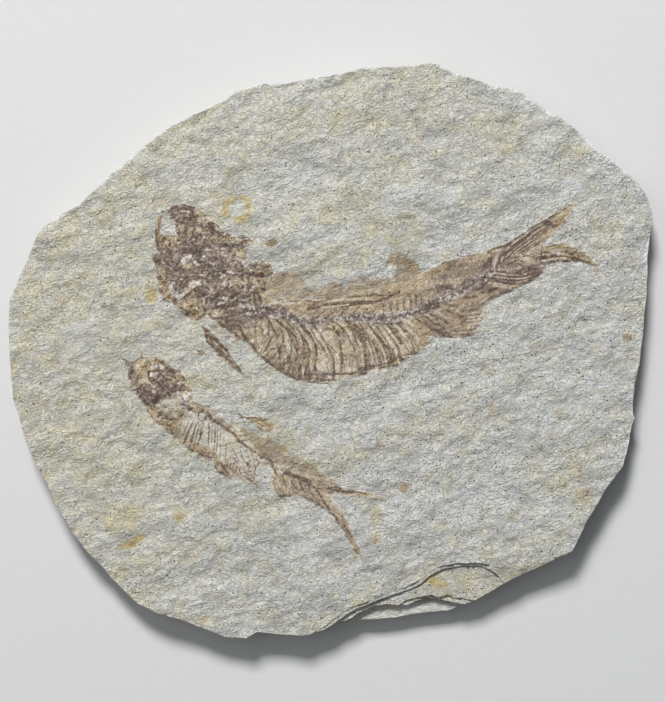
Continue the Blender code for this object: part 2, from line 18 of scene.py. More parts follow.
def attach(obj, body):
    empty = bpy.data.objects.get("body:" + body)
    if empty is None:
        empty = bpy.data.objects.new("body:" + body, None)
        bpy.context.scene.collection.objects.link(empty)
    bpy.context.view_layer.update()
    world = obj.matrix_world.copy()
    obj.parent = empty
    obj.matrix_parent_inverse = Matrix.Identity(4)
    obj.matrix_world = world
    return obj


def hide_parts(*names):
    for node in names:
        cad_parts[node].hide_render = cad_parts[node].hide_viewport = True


bl_info = {
    "name": "Fossil fish slab",
    "version": (1, 0, 0),
    "blender": (4, 5, 0),
    "location": "3D View > Sidebar > Fossil",
    "description": "Builds a limestone slab with two fossil fish in its split face",
    "category": "Object",
}

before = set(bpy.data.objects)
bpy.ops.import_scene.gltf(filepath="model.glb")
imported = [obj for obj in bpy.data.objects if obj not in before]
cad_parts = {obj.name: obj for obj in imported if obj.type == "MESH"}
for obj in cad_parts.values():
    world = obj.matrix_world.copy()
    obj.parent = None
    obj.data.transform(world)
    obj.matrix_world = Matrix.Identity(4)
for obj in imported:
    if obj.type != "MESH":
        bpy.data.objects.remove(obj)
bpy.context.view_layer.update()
MM = 0.001

# The bedding face, as in the solid slab.
BEDDING = 9.0               # its mean height above the underside
FULL_SECTION = 3.7          # height at which the slab is widest
LEAN = 18.0                 # direction in which the rock's lumps are drawn out, in degrees from +X

# Lumps of the split face, as layers of random patches: the height of a layer, the length and width of its
# patches, their turn and a seed. Creased lumps are parted by sharp creases.
SOFT_LUMPS = ((0.47, 8.2, 6.2, LEAN, 11), (0.32, 3.6, 2.7, LEAN, 12), (0.10, 1.2, 1.0, LEAN, 14))
CREASED_LUMPS = ((0.21, 2.7, 2.1, LEAN - 6.0, 21), (0.18, 1.6, 1.3, LEAN - 6.0, 22))

# Ledges at the lower right edge: the height of a level cut through the layer above, and the ledge's own. A
# rectangle holds them all.
LEDGES = ((8.5, 8.58), (7.8, 7.65), (7.05, 6.95), (5.6, 5.3))
LEDGE_CORNER = (-14.0, -76.0)
LEDGE_SIZE = (76.0, 29.0)
LEDGE_SEED = 41

# The small chip in the face, at the right of the ledges: its middle, two radii and turn, and its depth.
CHIP = (49.0, -55.6, 3.2, 1.3, -20.0)
CHIP_DEPTH = 0.35

# The slab's broken rim, from the underside up: height and how far it leans in. Then the heights at which
# the walls of the rim and of a broken layer have a ring of points.
RIM_PROFILE = (
    (0.0, 1.7), (0.6, 1.1), (2.2, 0.35), (FULL_SECTION, 0.0), (7.0, 0.12), (8.4, 0.3), (9.0, 0.5),
    (10.5, 0.6),
)
RIM_HEIGHTS = (
    0.0, 0.3, 0.7, 1.3, 2.0, 2.7, 3.3, 3.9, 4.5, 5.1, 5.7, 6.3, 6.9, 7.4, 7.9, 8.4, 8.8, 9.2, 10.4,
)
LAYER_HEIGHTS = (0.0, 2.0, 4.0, 5.0, 6.0, 7.0, 8.0, 8.6, 9.2, 13.0)
RIM_SEED = 31

# Shallow hollows of the underside: their depth, and the length, width, turn and seed of the random patches.
HOLLOW_DEPTH = 0.25
HOLLOWS = (9.0, 6.0, 10.0, 55)

# Heights under and over the slab, to which the blocks that shape it reach.
BELOW = -3.0
ABOVE = 12.0

SHARP_ANGLE = 48.0          # faces that meet at more degrees than this are shaded with a sharp edge


# ---- Settings

def length(name, description, default):
    """A length property, in metres."""
    return FloatProperty(name=name, description=description, default=default, min=0.0, unit="LENGTH",
                         precision=5)


def colour(name, description, default):
    """A colour property, in linear values."""
    return FloatVectorProperty(name=name, description=description, default=default, size=3, min=0.0,
                               max=1.0, subtype="COLOR")


def share(name, description, default, most=1.0):
    """A plain number property."""
    return FloatProperty(name=name, description=description, default=default, min=0.0, max=most)


class LimestoneSettings(bpy.types.PropertyGroup):
    """Sizes and colours of the slab."""
    cell: length("Face cell", "Spacing of the mesh on the split face", 0.00054)
    under_cell: length("Underside cell", "Spacing of the mesh on the underside", 0.0025)
    wall_cell: length("Rim cell", "Spacing of the mesh around the broken rim", 0.00056)
    recess: length("Recess", "How deep the bone is set in the rock", 0.0004)
    # Grey and pale are mixed by the grain and also as painted shade: grey in the creases of the fine
    # relief, pale on the lumps.
    grey: colour("Grey", "Darker grain of the limestone", (0.36, 0.36, 0.345))
    pale: colour("Pale", "Lighter grain of the limestone", (0.70, 0.695, 0.655))
    cream: colour("Cream", "Warm tint of the limestone's patches", (1.0, 0.94, 0.76))
    chalk: colour("Chalk", "Bleached bluish patches", (0.66, 0.67, 0.68))
    film: colour("Film stain", "Tint of the film left by the fish's skin", (0.67, 0.53, 0.38))
    ochre: colour("Ochre stain", "Tint of the yellow iron stains", (0.95, 0.81, 0.48))
    umber: colour("Umber stain", "Tint of the brown iron stains", (0.58, 0.45, 0.32))
    # Near-white colour for painted light: a painted highlight on the rim's upper side and painted light on
    # the shaded low shelf.
    painted_light: colour("Painted rim light", "Painted highlight on the rim and painted light on the low shelf", (0.84, 0.84, 0.83))
    speck: colour("Specks", "Dark mineral specks", (0.09, 0.09, 0.09))
    freckle: colour("Freckles", "Tint of the small warm freckles", (0.68, 0.60, 0.42))
    relief: length("Fine relief", "Height of the grain that only shades the rock", 0.00046)


class BoneSettings(bpy.types.PropertyGroup):
    """Sizes and colours of the fossil bone."""
    cell: length("Bone cell", "Spacing of the mesh on the bone", 0.00019)
    margin: length("Margin", "How far the bed reaches under the rock around it", 0.0006)
    lift: length("Lift", "How far the film of bone stands above the rock", 0.0001)
    depth: length("Depth", "How deep the bed of bone reaches", 0.0009)
    dark: colour("Dark bone", "Thick bone", (0.10, 0.066, 0.047))
    violet: colour("Violet bone", "Bone of the head and the backbone", (0.25, 0.188, 0.155))
    tan: colour("Tan bone", "Thin bone of the body", (0.38, 0.295, 0.185))
    ochre: colour("Ochre bone", "Stained film at the edges", (0.36, 0.265, 0.14))
    light: colour("Light bone", "Thin film between the bones", (0.70, 0.63, 0.50))
    fleck: colour("Flecks", "Bare crystals in the bone", (0.74, 0.72, 0.69))
    relief: length("Fine relief", "Height of the grain that only shades the bone", 0.00034)


class StageSettings(bpy.types.PropertyGroup):
    """The floor, the lights and the camera."""
    lens: FloatProperty(name="Lens", description="Focal length in millimetres", default=85.0, min=20.0,
                        subtype="DISTANCE_CAMERA")
    field: length("Field", "Height of the view at the bedding face", 0.1745)
    floor: colour("Floor", "The floor's colour", (0.60, 0.60, 0.595))
    key: share("Key light", "Power of the main light, in watts", 32.5, 100.0)
    fill: share("Fill light", "Strength of the even light around", 0.17, 10.0)


# ---- Random relief, distances and masks. Every x, y and result is an array of millimetres or shares.

LATTICE = 256
PENCIL_STEPS = 4            # how finely a stroke's curve is stepped


def patchy(u, v, seed):
    """Smooth random values from -1 to 1 that change from one unit cell of u and v to the next."""
    lattice = np.random.default_rng(seed).uniform(-1.0, 1.0, (LATTICE, LATTICE))
    column, row = np.floor(u).astype(int), np.floor(v).astype(int)
    s, t = u - column, v - row
    s, t = s * s * (3.0 - 2.0 * s), t * t * (3.0 - 2.0 * t)
    left, right = column % LATTICE, (column + 1) % LATTICE
    low, high = row % LATTICE, (row + 1) % LATTICE
    near = lattice[left, low] * (1.0 - s) + lattice[right, low] * s
    far = lattice[left, high] * (1.0 - s) + lattice[right, high] * s
    return near * (1.0 - t) + far * t


def streaks(x, y, long, wide, turn, seed):
    """Random values in cells of a length and a width, turned from +X by an angle in degrees."""
    c, s = math.cos(math.radians(turn)), math.sin(math.radians(turn))
    u = (x * c + y * s) / long
    v = (y * c - x * s) / wide
    return patchy(u + 0.35 * patchy(u * 0.7 + 9.1, v * 0.7, seed + 500), v, seed)


def layered(x, y, layers):
    """The sum of layers of random patches: a strength, a length, a width, a turn and a seed for each."""
    return sum(strength * streaks(x, y, *patch) for strength, *patch in layers)


def ramp(value, low, high):
    """0 up to low, 1 from high on, and smooth between."""
    t = np.clip((value - low) / (high - low), 0.0, 1.0)
    return t * t * (3.0 - 2.0 * t)


def gap_to(x, y, line):
    """Distance from each point to a line."""
    nearest = np.full(x.shape, np.inf)
    for (ax, ay), (bx, by) in zip(line, line[1:]):
        dx, dy = bx - ax, by - ay
        t = np.clip(((x - ax) * dx + (y - ay) * dy) / max(dx * dx + dy * dy, 1e-9), 0.0, 1.0)
        nearest = np.minimum(nearest, np.hypot(x - ax - t * dx, y - ay - t * dy))
    return nearest


def in_box(x, y, line, reach):
    """Which points are in the box of a line, grown by a reach."""
    low, high = np.min(line, axis=0) - reach, np.max(line, axis=0) + reach
    return (x > low[0]) & (x < high[0]) & (y > low[1]) & (y < high[1])


def depth_inside(x, y, outline, reach=4.0):
    """Distance from each point to a closed outline, above zero inside it, and no more than reach."""
    ring = [tuple(point) for point in outline]
    ring.append(ring[0])
    near = in_box(x, y, ring, reach)
    depth = np.full(x.shape, -reach)
    px, py = x[near], y[near]
    odd = np.zeros(px.shape, dtype=bool)
    for (ax, ay), (bx, by) in zip(ring, ring[1:]):
        if ay != by:
            crosses = ((ay > py) != (by > py)) & (px < (bx - ax) * (py - ay) / (by - ay) + ax)
            odd ^= crosses
    gap = np.minimum(gap_to(px, py, ring), reach)
    depth[near] = np.where(odd, gap, -gap)
    return depth


def on_lines(x, y, lines, width, soft=0.2):
    """1 on lines of a width, falling to 0 over a soft edge."""
    mask = np.zeros(x.shape)
    for line in lines:
        near = in_box(x, y, line, width + soft)
        if near.any():
            stroke = 1.0 - ramp(gap_to(x[near], y[near], line), width / 2.0, width / 2.0 + soft)
            mask[near] = np.maximum(mask[near], stroke)
    return mask


def in_blot(x, y, blot, soft=0.45):
    """1 in the middle of an oval, falling to 0 at its border. A blot is x, y, two radii and a turn."""
    cx, cy, long, wide, turn = blot[:5]
    c, s = math.cos(math.radians(turn)), math.sin(math.radians(turn))
    u = ((x - cx) * c + (y - cy) * s) / long
    v = ((y - cy) * c - (x - cx) * s) / wide
    return 1.0 - ramp(np.hypot(u, v), 1.0 - soft, 1.0 + soft)


def in_blots(x, y, blots, soft=0.45):
    """The strongest of several blots, each with its strength as its last number."""
    return np.max([blot[5] * in_blot(x, y, blot, soft) for blot in blots], axis=0)


def smooth_line(points):
    """A smooth curve through points, with PENCIL_STEPS steps between each two."""
    steps = PENCIL_STEPS
    if len(points) < 3:
        a, b = Vector(points[0][:2]), Vector(points[-1][:2])
        return [tuple(a.lerp(b, i / steps)) for i in range(steps + 1)]
    knots = [Vector(p[:2]) for p in points]
    knots = [knots[0] * 2.0 - knots[1]] + knots + [knots[-1] * 2.0 - knots[-2]]
    line = []
    for a, b, c, d in zip(knots, knots[1:], knots[2:], knots[3:]):
        for i in range(steps):
            t = i / steps
            line.append(tuple(0.5 * (2.0 * b + (c - a) * t + (2.0 * a - 5.0 * b + 4.0 * c - d) * t * t
                                     + (3.0 * b - a - 3.0 * c + d) * t ** 3)))
    line.append(tuple(knots[-2]))
    return line


def doubled_area(ring):
    """Twice the area of a closed ring, above zero where it runs anticlockwise."""
    x, y = np.array(ring).T
    return np.sum(x * np.roll(y, -1) - y * np.roll(x, -1))


def travelled(points):
    """How far each of a row of points is along it."""
    return np.concatenate(([0.0], np.cumsum(np.hypot(*np.diff(points, axis=0).T))))


def resampled(ring, spacing):
    """Points evenly spaced around a closed ring, as an array."""
    points = np.array([tuple(p) for p in ring] + [tuple(ring[0])])
    way = travelled(points)
    stops = np.linspace(0.0, way[-1], int(way[-1] / spacing), endpoint=False)
    return np.column_stack([np.interp(stops, way, points[:, axis]) for axis in (0, 1)])


def along(line, part):
    """The point at a share of a line's length."""
    points = np.array([tuple(p[:2]) for p in line])
    way = travelled(points)
    return Vector([np.interp(part * way[-1], way, points[:, axis]) for axis in (0, 1)])


# ---- The drawing. Its sheet has X to the right and Y down, in units of its own; windows enlarge its parts.

SHEET_MIDDLE = (330.75, 351.25)     # the sheet's spot that lies at the slab's origin
SHEET_UNIT = 0.25                   # one of the sheet's units, in millimetres


class Window:
    """A window on the drawing: the sheet's spot at its top left corner, and how much it is enlarged."""

    def __init__(self, left, top, zoom=1.0):
        self.left = left
        self.top = top
        self.zoom = zoom

    def spot(self, across, down):
        """A spot of the window in millimetres."""
        x = (self.left + across / self.zoom - SHEET_MIDDLE[0]) * SHEET_UNIT
        y = (SHEET_MIDDLE[1] - self.top - down / self.zoom) * SHEET_UNIT
        return x, y

    def line(self, numbers):
        """A line through spots that are given as a row of numbers."""
        return [self.spot(*pair) for pair in zip(numbers[::2], numbers[1::2])]

    def blots(self, rows):
        """Ovals: a spot, two radii, the turn in degrees, and further values."""
        unit = SHEET_UNIT / self.zoom
        return [(*self.spot(*row[:2]), row[2] * unit, row[3] * unit, *row[4:]) for row in rows]

    def strokes(self, rows, values=3):
        """Lines: the width in the sheet's units, further values, and the spots as a row of numbers."""
        return [(row[0] * SHEET_UNIT, *row[1:values], self.line(row[values:])) for row in rows]


SHEET = Window(0, 0)
CROWN = Window(148, 198, 11.538)
CHEEK = Window(148, 250, 11.538)
BELLY = Window(240, 285, 7.895)
LOINS = Window(425, 255, 11.579)
TAIL = Window(425, 200, 8.242)
FINS = Window(198, 320, 9.167)
SMALL_HEAD = Window(118, 345, 11.538)
SMALL_BODY = Window(180, 395, 10.476)
SMALL_TAIL = Window(285, 450, 10.0)

# The rock's patches and stains: blots with a strength.
OCHRE_STRENGTH = 1.15
UMBER_STRENGTH = 1.5
CREAM_PATCHES = SHEET.blots([
    (340, 108, 120, 34, 4, 0.6), (480, 135, 60, 30, -20, 0.5), (40, 390, 26, 60, 0, 0.5),
    (255, 150, 50, 26, 30, 0.6), (600, 230, 26, 40, 20, 0.4), (430, 430, 50, 24, 20, 0.4),
    (500, 560, 60, 20, 25, 0.4), (60, 300, 40, 22, 20, 0.7), (110, 400, 40, 22, 20, 0.6),
    (200, 130, 60, 20, 10, 0.6), (130, 180, 36, 16, 20, 0.6), (330, 262, 50, 16, 15, 0.7),
    (450, 580, 38, 12, -20, 0.9), (405, 608, 46, 9, 12, 1.0), (450, 585, 40, 12, 5, 0.8),
    (370, 618, 30, 6, 15, 0.9), (400, 170, 60, 18, 10, 0.4), (140, 560, 60, 22, 10, 0.5),
    (560, 470, 36, 22, 0, 0.5),
])
CHALK_PATCHES = SHEET.blots([
    (543, 462, 7, 10, 0, 0.9), (174, 228, 9, 9, 0, 0.8), (152, 252, 9, 6, 0, 0.8),
    (270, 330, 20, 8, 0, 0.3), (237, 208, 5, 5, 0, 1.0), (390.6, 271, 4, 5, 0, 1.0),
    (300, 180, 60, 26, 15, 0.5), (560, 400, 50, 30, 30, 0.4), (513, 527, 24, 5, -10, 0.7),
    (530, 548, 20, 7, -10, 0.5),
])
OCHRE_STAINS = SHEET.blots([
    (128, 515, 22, 17, 20, 0.55), (133, 541, 18, 6, 20, 0.85), (112, 523, 9, 14, 20, 0.6),
    (181, 516, 8, 6, 0, 0.7), (204, 620, 8, 7, 0, 0.6), (269, 612, 14, 11, 0, 0.5),
    (143, 600, 14, 6, 0, 0.5), (437, 582, 14, 6, -20, 0.8), (376, 515, 9, 13, 0, 0.55),
    (376, 538, 9, 6, 0, 0.6), (404, 487, 9, 7, 0, 0.3), (575, 470, 10, 11, 0, 0.55),
    (558, 415, 11, 10, 0, 0.5), (626, 338, 9, 8, 0, 0.5), (324, 262, 30, 8, 12, 0.4),
    (324, 250, 20, 7, 12, 0.3), (152, 296, 9, 8, 0, 0.8), (385, 376, 18, 6, 0, 0.45),
    (350, 384, 30, 5, 5, 0.4), (645, 296, 5, 9, 0, 0.55), (40, 406, 7, 6, 0, 0.5),
    (95, 270, 10, 6, 0, 0.35), (450, 85, 16, 7, 0, 0.4), (455, 175, 8, 5, 0, 0.35),
    (253, 105, 9, 6, 0, 0.3), (484, 155, 9, 5, 0, 0.3), (584, 173, 9, 6, 0, 0.3),
    (15, 370, 6, 10, 0, 0.5), (338, 570, 16, 12, 0, 0.3), (480, 512, 8, 6, 0, 0.4),
    (560, 535, 16, 8, 10, 0.35), (205, 125, 24, 10, 10, 0.35), (385, 160, 30, 12, 10, 0.25),
    (90, 440, 26, 14, 20, 0.3), (230, 560, 22, 10, 15, 0.25), (470, 590, 18, 8, -20, 0.4),
    (262, 422, 16, 5, -22, 0.6), (276, 419, 8, 4, -10, 0.4), (205, 392, 13, 7, 20, 0.4),
    (306, 458, 14, 7, -35, 0.5), (70, 520, 14, 8, 0, 0.3), (520, 300, 10, 8, 0, 0.25),
    (491, 408, 5, 8, 0, 0.6), (580, 495, 15, 12, 0, 0.55), (451, 543, 8, 8, 0, 0.5),
    (463, 430, 9, 6, 0, 0.45), (503, 428, 5, 4, 0, 0.5), (513, 518, 9, 5, 0, 0.5),
    (400, 572, 8, 4, 0, 0.5), (488, 488, 8, 7, 0, 0.35), (523, 491, 9, 7, 0, 0.35),
    (457, 503, 9, 7, 0, 0.35), (440, 590, 22, 6, -15, 0.45), (470, 578, 20, 6, 10, 0.4),
])
UMBER_STAINS = SHEET.blots([
    (271, 243, 7, 5, 0, 0.65), (404, 487, 7, 6, 20, 0.6), (380, 446, 5, 7, 0, 0.45),
    (626, 338, 6, 6, 0, 0.55), (558, 412, 5, 4, 0, 0.3), (543, 319, 6, 6, 0, 0.35),
    (201, 353, 4, 3, 0, 0.8), (293, 389, 6, 5, 0, 0.4), (373, 374, 8, 5, 0, 0.3),
    (481, 516, 4, 3, 0, 0.8), (376, 539, 5, 4, 0, 0.5), (135, 543, 10, 3, 20, 0.45),
    (56, 363, 10, 6, 0, 0.3), (90, 375, 6, 5, 0, 0.35), (338, 570, 12, 9, 0, 0.3),
    (298, 563, 8, 6, 0, 0.3), (370, 565, 8, 6, 0, 0.3), (205, 125, 16, 6, 0, 0.25),
    (440, 127, 7, 4, 0, 0.3), (181, 516, 5, 4, 0, 0.35), (318, 274, 12, 2, -12, 0.5),
    (355, 383, 24, 3, 8, 0.35), (581, 493, 8, 6, 0, 0.45), (260, 606, 7, 4, 0, 0.3),
])
SPECKLED = SHEET.blots([
    (107, 485, 16, 22, 0, 0.9), (205, 608, 16, 14, 0, 0.9), (490, 515, 80, 30, -10, 1.0),
    (520, 160, 60, 40, -20, 0.8), (560, 300, 50, 60, 0, 0.75), (340, 590, 50, 16, 0, 0.8),
])
BARE_SPOT = SHEET.blots([(390.6, 271, 4, 5, 0)])[0]
# The low shelf, which is painted lighter as painted light over its shade.
LOW_SHELF = SHEET.blots([(405, 612, 52, 9, 6)])[0]
OCHRE_RING = SHEET.blots([(237.5, 209, 11, 6.5, 1.0)])[0]     # its middle, radius, width and strength

# Films that the skin left on the rock: their borders, each with its strength.
BACK_FILM = SHEET.line([
    262, 292, 268, 276, 276, 271, 286, 271, 297, 274, 306, 281, 311, 289, 318, 291, 324, 285, 332, 282,
    340, 284, 346, 284, 352, 279, 362, 278, 374, 277, 383, 275, 385, 268, 384, 260, 388, 253, 395, 248,
    402, 249, 407, 255, 414, 259, 420, 267, 424, 276, 414, 286, 396, 292, 370, 297, 340, 303, 318, 306,
    300, 306, 280, 304, 266, 300,
])
SMALL_BACK_FILM = SHEET.line([
    238, 423, 255, 432, 268, 437, 280, 443, 293, 451, 303, 456, 312, 463, 322, 472, 335, 484, 332, 496,
    314, 486, 296, 476, 280, 467, 266, 460, 252, 448, 240, 434,
])
THROAT_FILM = SHEET.line([
    207, 325, 222, 321, 228, 332, 241, 341, 243, 352, 236, 346, 228, 340, 216, 335,
])
FILMS = ((BACK_FILM, 0.85), (SMALL_BACK_FILM, 0.80), (THROAT_FILM, 0.70))

# The large fish. In percent: patches have a tone, a hue and a share, bones a tone and a hue, flecks a
# strength.
LARGE_SPINE = SHEET.line([
    245, 312, 256, 309, 268, 307, 281, 311, 290, 317, 300, 321, 312, 322, 328, 321, 343, 318, 361, 318,
    378, 319, 396, 317, 412, 313, 424, 309, 434, 303, 446, 296, 459, 290, 470, 285, 482, 279, 492, 270,
    499, 263,
])
LARGE_HEAD = SHEET.blots([(205, 265, 62, 62, 0)])[0]
TAIL_RAYS = SHEET.blots([(536, 229, 42, 14, 34), (522, 260, 26, 12, 8), (562, 252, 36, 12, -12)])
LARGE_DOMES = SHEET.blots([
    (186, 213, 12, 6, 0, 0.45), (186, 230, 9, 9, 0, 0.35), (174, 260, 15, 12, 0, 0.45),
    (200, 243, 13, 9, -10, 0.45), (217, 260, 17, 11, 0, 0.50), (230, 242, 13, 5, -15, 0.35),
    (213, 291, 16, 11, 0, 0.50), (235, 287, 12, 13, 0, 0.45), (184, 289, 11, 8, -10, 0.35),
    (190, 308, 12, 6, -25, 0.30), (223, 322, 10, 5, -30, 0.30), (261, 270, 9, 6, 0, 0.50),
    (259, 286, 6, 5, 0, 0.40),
])
LARGE_PATCHES = CROWN.blots([
    (285, 185, 42, 60, 0, 60, 20), (430, 170, 110, 60, 10, 66, 12), (380, 330, 70, 55, 0, 62, 60),
    (470, 380, 60, 40, 0, 52, 40), (620, 225, 100, 50, -25, 34, 80), (200, 505, 85, 60, 0, 45, 95),
    (340, 470, 60, 35, -30, 42, 90), (130, 330, 28, 120, 8, 48, 45), (600, 385, 62, 24, -40, 14, 60),
    (560, 450, 80, 30, -20, 66, 40), (900, 495, 170, 34, -4, 46, 66), (1130, 512, 80, 55, -20, 66, 50),
    (1085, 640, 55, 40, 0, 30, 92), (800, 355, 50, 34, -40, 32, 20), (520, 590, 95, 70, -20, 78, 6),
    (640, 690, 80, 42, 0, 76, 4), (750, 590, 110, 50, 0, 42, 8), (270, 740, 85, 105, 0, 72, 12),
    (330, 690, 28, 60, 10, 22, 22), (850, 690, 140, 60, 0, 56, 6), (1000, 760, 130, 60, 0, 46, 6),
    (750, 780, 90, 40, 0, 74, 4), (1000, 690, 70, 40, 0, 34, 25), (1300, 840, 115, 62, 8, 76, 40),
    (1385, 775, 55, 30, -20, 50, 75), (1290, 970, 72, 62, 0, 38, 34), (450, 790, 70, 30, -10, 46, 85),
    (180, 880, 40, 60, 0, 50, 60),
]) + CHEEK.blots([
    (180, 385, 50, 90, -8, 42, 88), (235, 535, 42, 70, 10, 46, 92), (400, 410, 125, 72, 0, 60, 10),
    (515, 415, 42, 36, 0, 16, 30), (590, 390, 52, 38, 0, 6, 20), (655, 395, 40, 62, 0, 88, 2),
    (540, 640, 135, 135, 0, 42, 72), (500, 570, 100, 48, 30, 38, 40), (560, 745, 90, 58, 0, 52, 95),
    (420, 690, 40, 40, -40, 40, 60), (640, 500, 62, 50, 0, 78, 0), (750, 560, 92, 66, 0, 74, 10),
    (760, 420, 130, 90, 0, 50, 14), (930, 390, 110, 80, 0, 46, 10), (1050, 400, 70, 45, 0, 46, 50),
    (960, 500, 90, 60, 0, 62, 8), (1110, 480, 50, 80, -20, 52, 30), (780, 720, 95, 36, 0, 28, 50),
    (970, 860, 95, 55, -35, 64, 10), (900, 900, 60, 30, -40, 55, 40), (900, 1000, 130, 62, -20, 34, 55),
    (850, 980, 42, 16, -10, 86, 30), (800, 900, 30, 20, 0, 60, 50), (1200, 690, 130, 28, 5, 76, 2),
    (1150, 800, 90, 30, 0, 40, 5), (1180, 1030, 80, 50, 0, 72, 55),
]) + TAIL.blots([
    (820, 320, 190, 42, 38, 66, 12), (1060, 190, 100, 34, 40, 52, 60), (1140, 130, 90, 30, 42, 40, 88),
    (1205, 50, 50, 24, 48, 46, 70), (1000, 280, 80, 26, 35, 30, 95), (900, 380, 90, 40, 30, 28, 60),
    (1100, 380, 120, 34, 0, 36, 82), (1240, 440, 100, 34, -25, 38, 72), (1390, 520, 60, 24, -10, 46, 60),
    (1090, 490, 130, 20, -2, 56, 50), (1080, 425, 70, 22, 0, 12, 40), (820, 470, 110, 50, 15, 26, 45),
    (640, 470, 60, 90, -20, 60, 15), (590, 430, 36, 60, -15, 26, 40), (790, 620, 180, 46, 8, 66, 5),
    (880, 560, 80, 30, 0, 62, 5), (700, 560, 80, 30, -10, 44, 30), (620, 710, 160, 26, -4, 34, 40),
    (690, 740, 120, 30, 8, 48, 40), (480, 450, 110, 40, 12, 34, 55), (380, 480, 90, 50, 0, 48, 50),
    (240, 570, 120, 60, 15, 56, 50), (430, 560, 90, 70, 0, 50, 40), (530, 560, 60, 60, 0, 60, 12),
    (200, 640, 110, 50, 0, 34, 42), (80, 600, 90, 40, 20, 50, 55), (60, 690, 80, 30, 10, 30, 45),
    (430, 660, 110, 50, 0, 54, 5), (330, 740, 110, 46, 0, 54, 2), (160, 740, 90, 40, 0, 62, 40),
    (470, 760, 130, 40, 4, 46, 50),
]) + LOINS.blots([
    (470, 560, 130, 60, 10, 50, 55), (300, 660, 150, 60, -20, 48, 50), (180, 760, 90, 50, -20, 38, 45),
    (400, 760, 120, 70, 0, 50, 55), (110, 850, 110, 40, -35, 56, 45), (330, 930, 150, 30, 0, 52, 45),
    (560, 800, 90, 90, 0, 34, 50), (580, 660, 60, 40, 0, 36, 50), (640, 480, 60, 50, 40, 52, 60),
    (90, 580, 90, 40, 10, 62, 3), (330, 480, 120, 50, 10, 42, 8), (480, 380, 110, 50, 0, 56, 2),
]) + BELLY.blots([
    (60, 80, 90, 60, 0, 62, 30), (120, 230, 180, 40, 0, 70, 4), (420, 270, 130, 30, -12, 72, 2),
    (560, 300, 120, 24, -5, 62, 5), (770, 255, 90, 40, 0, 44, 8), (1000, 260, 220, 34, -3, 62, 8),
    (1130, 300, 90, 40, 0, 52, 10), (1380, 210, 130, 30, 22, 66, 2), (260, 90, 120, 50, -15, 30, 85),
    (480, 150, 60, 40, 0, 34, 80), (330, 130, 110, 30, -10, 14, 40), (720, 200, 180, 40, 4, 42, 40),
    (620, 390, 60, 50, -30, 2, 10), (470, 390, 30, 60, 10, 6, 20), (860, 400, 60, 70, 0, 10, 20),
    (780, 340, 90, 46, 0, 36, 85), (540, 530, 60, 90, 0, 48, 75), (620, 590, 60, 70, 0, 36, 80),
    (700, 460, 60, 60, 0, 30, 60), (1400, 360, 110, 60, -10, 42, 70), (1200, 350, 110, 50, -10, 42, 60),
    (380, 530, 150, 120, 0, 46, 36), (300, 640, 120, 60, -40, 56, 30), (500, 680, 130, 50, 0, 60, 24),
    (820, 620, 110, 60, 0, 42, 40), (980, 590, 100, 60, 0, 46, 36), (1100, 560, 90, 60, 0, 48, 34),
    (640, 650, 50, 26, 0, 10, 30), (700, 710, 80, 24, 0, 50, 4), (100, 430, 60, 50, 0, 60, 60),
    (60, 320, 60, 30, 0, 50, 10), (1330, 490, 60, 30, -10, 24, 40), (1240, 640, 110, 30, 5, 30, 95),
    (600, 780, 100, 22, 0, 34, 95), (880, 740, 120, 22, 5, 20, 50),
])
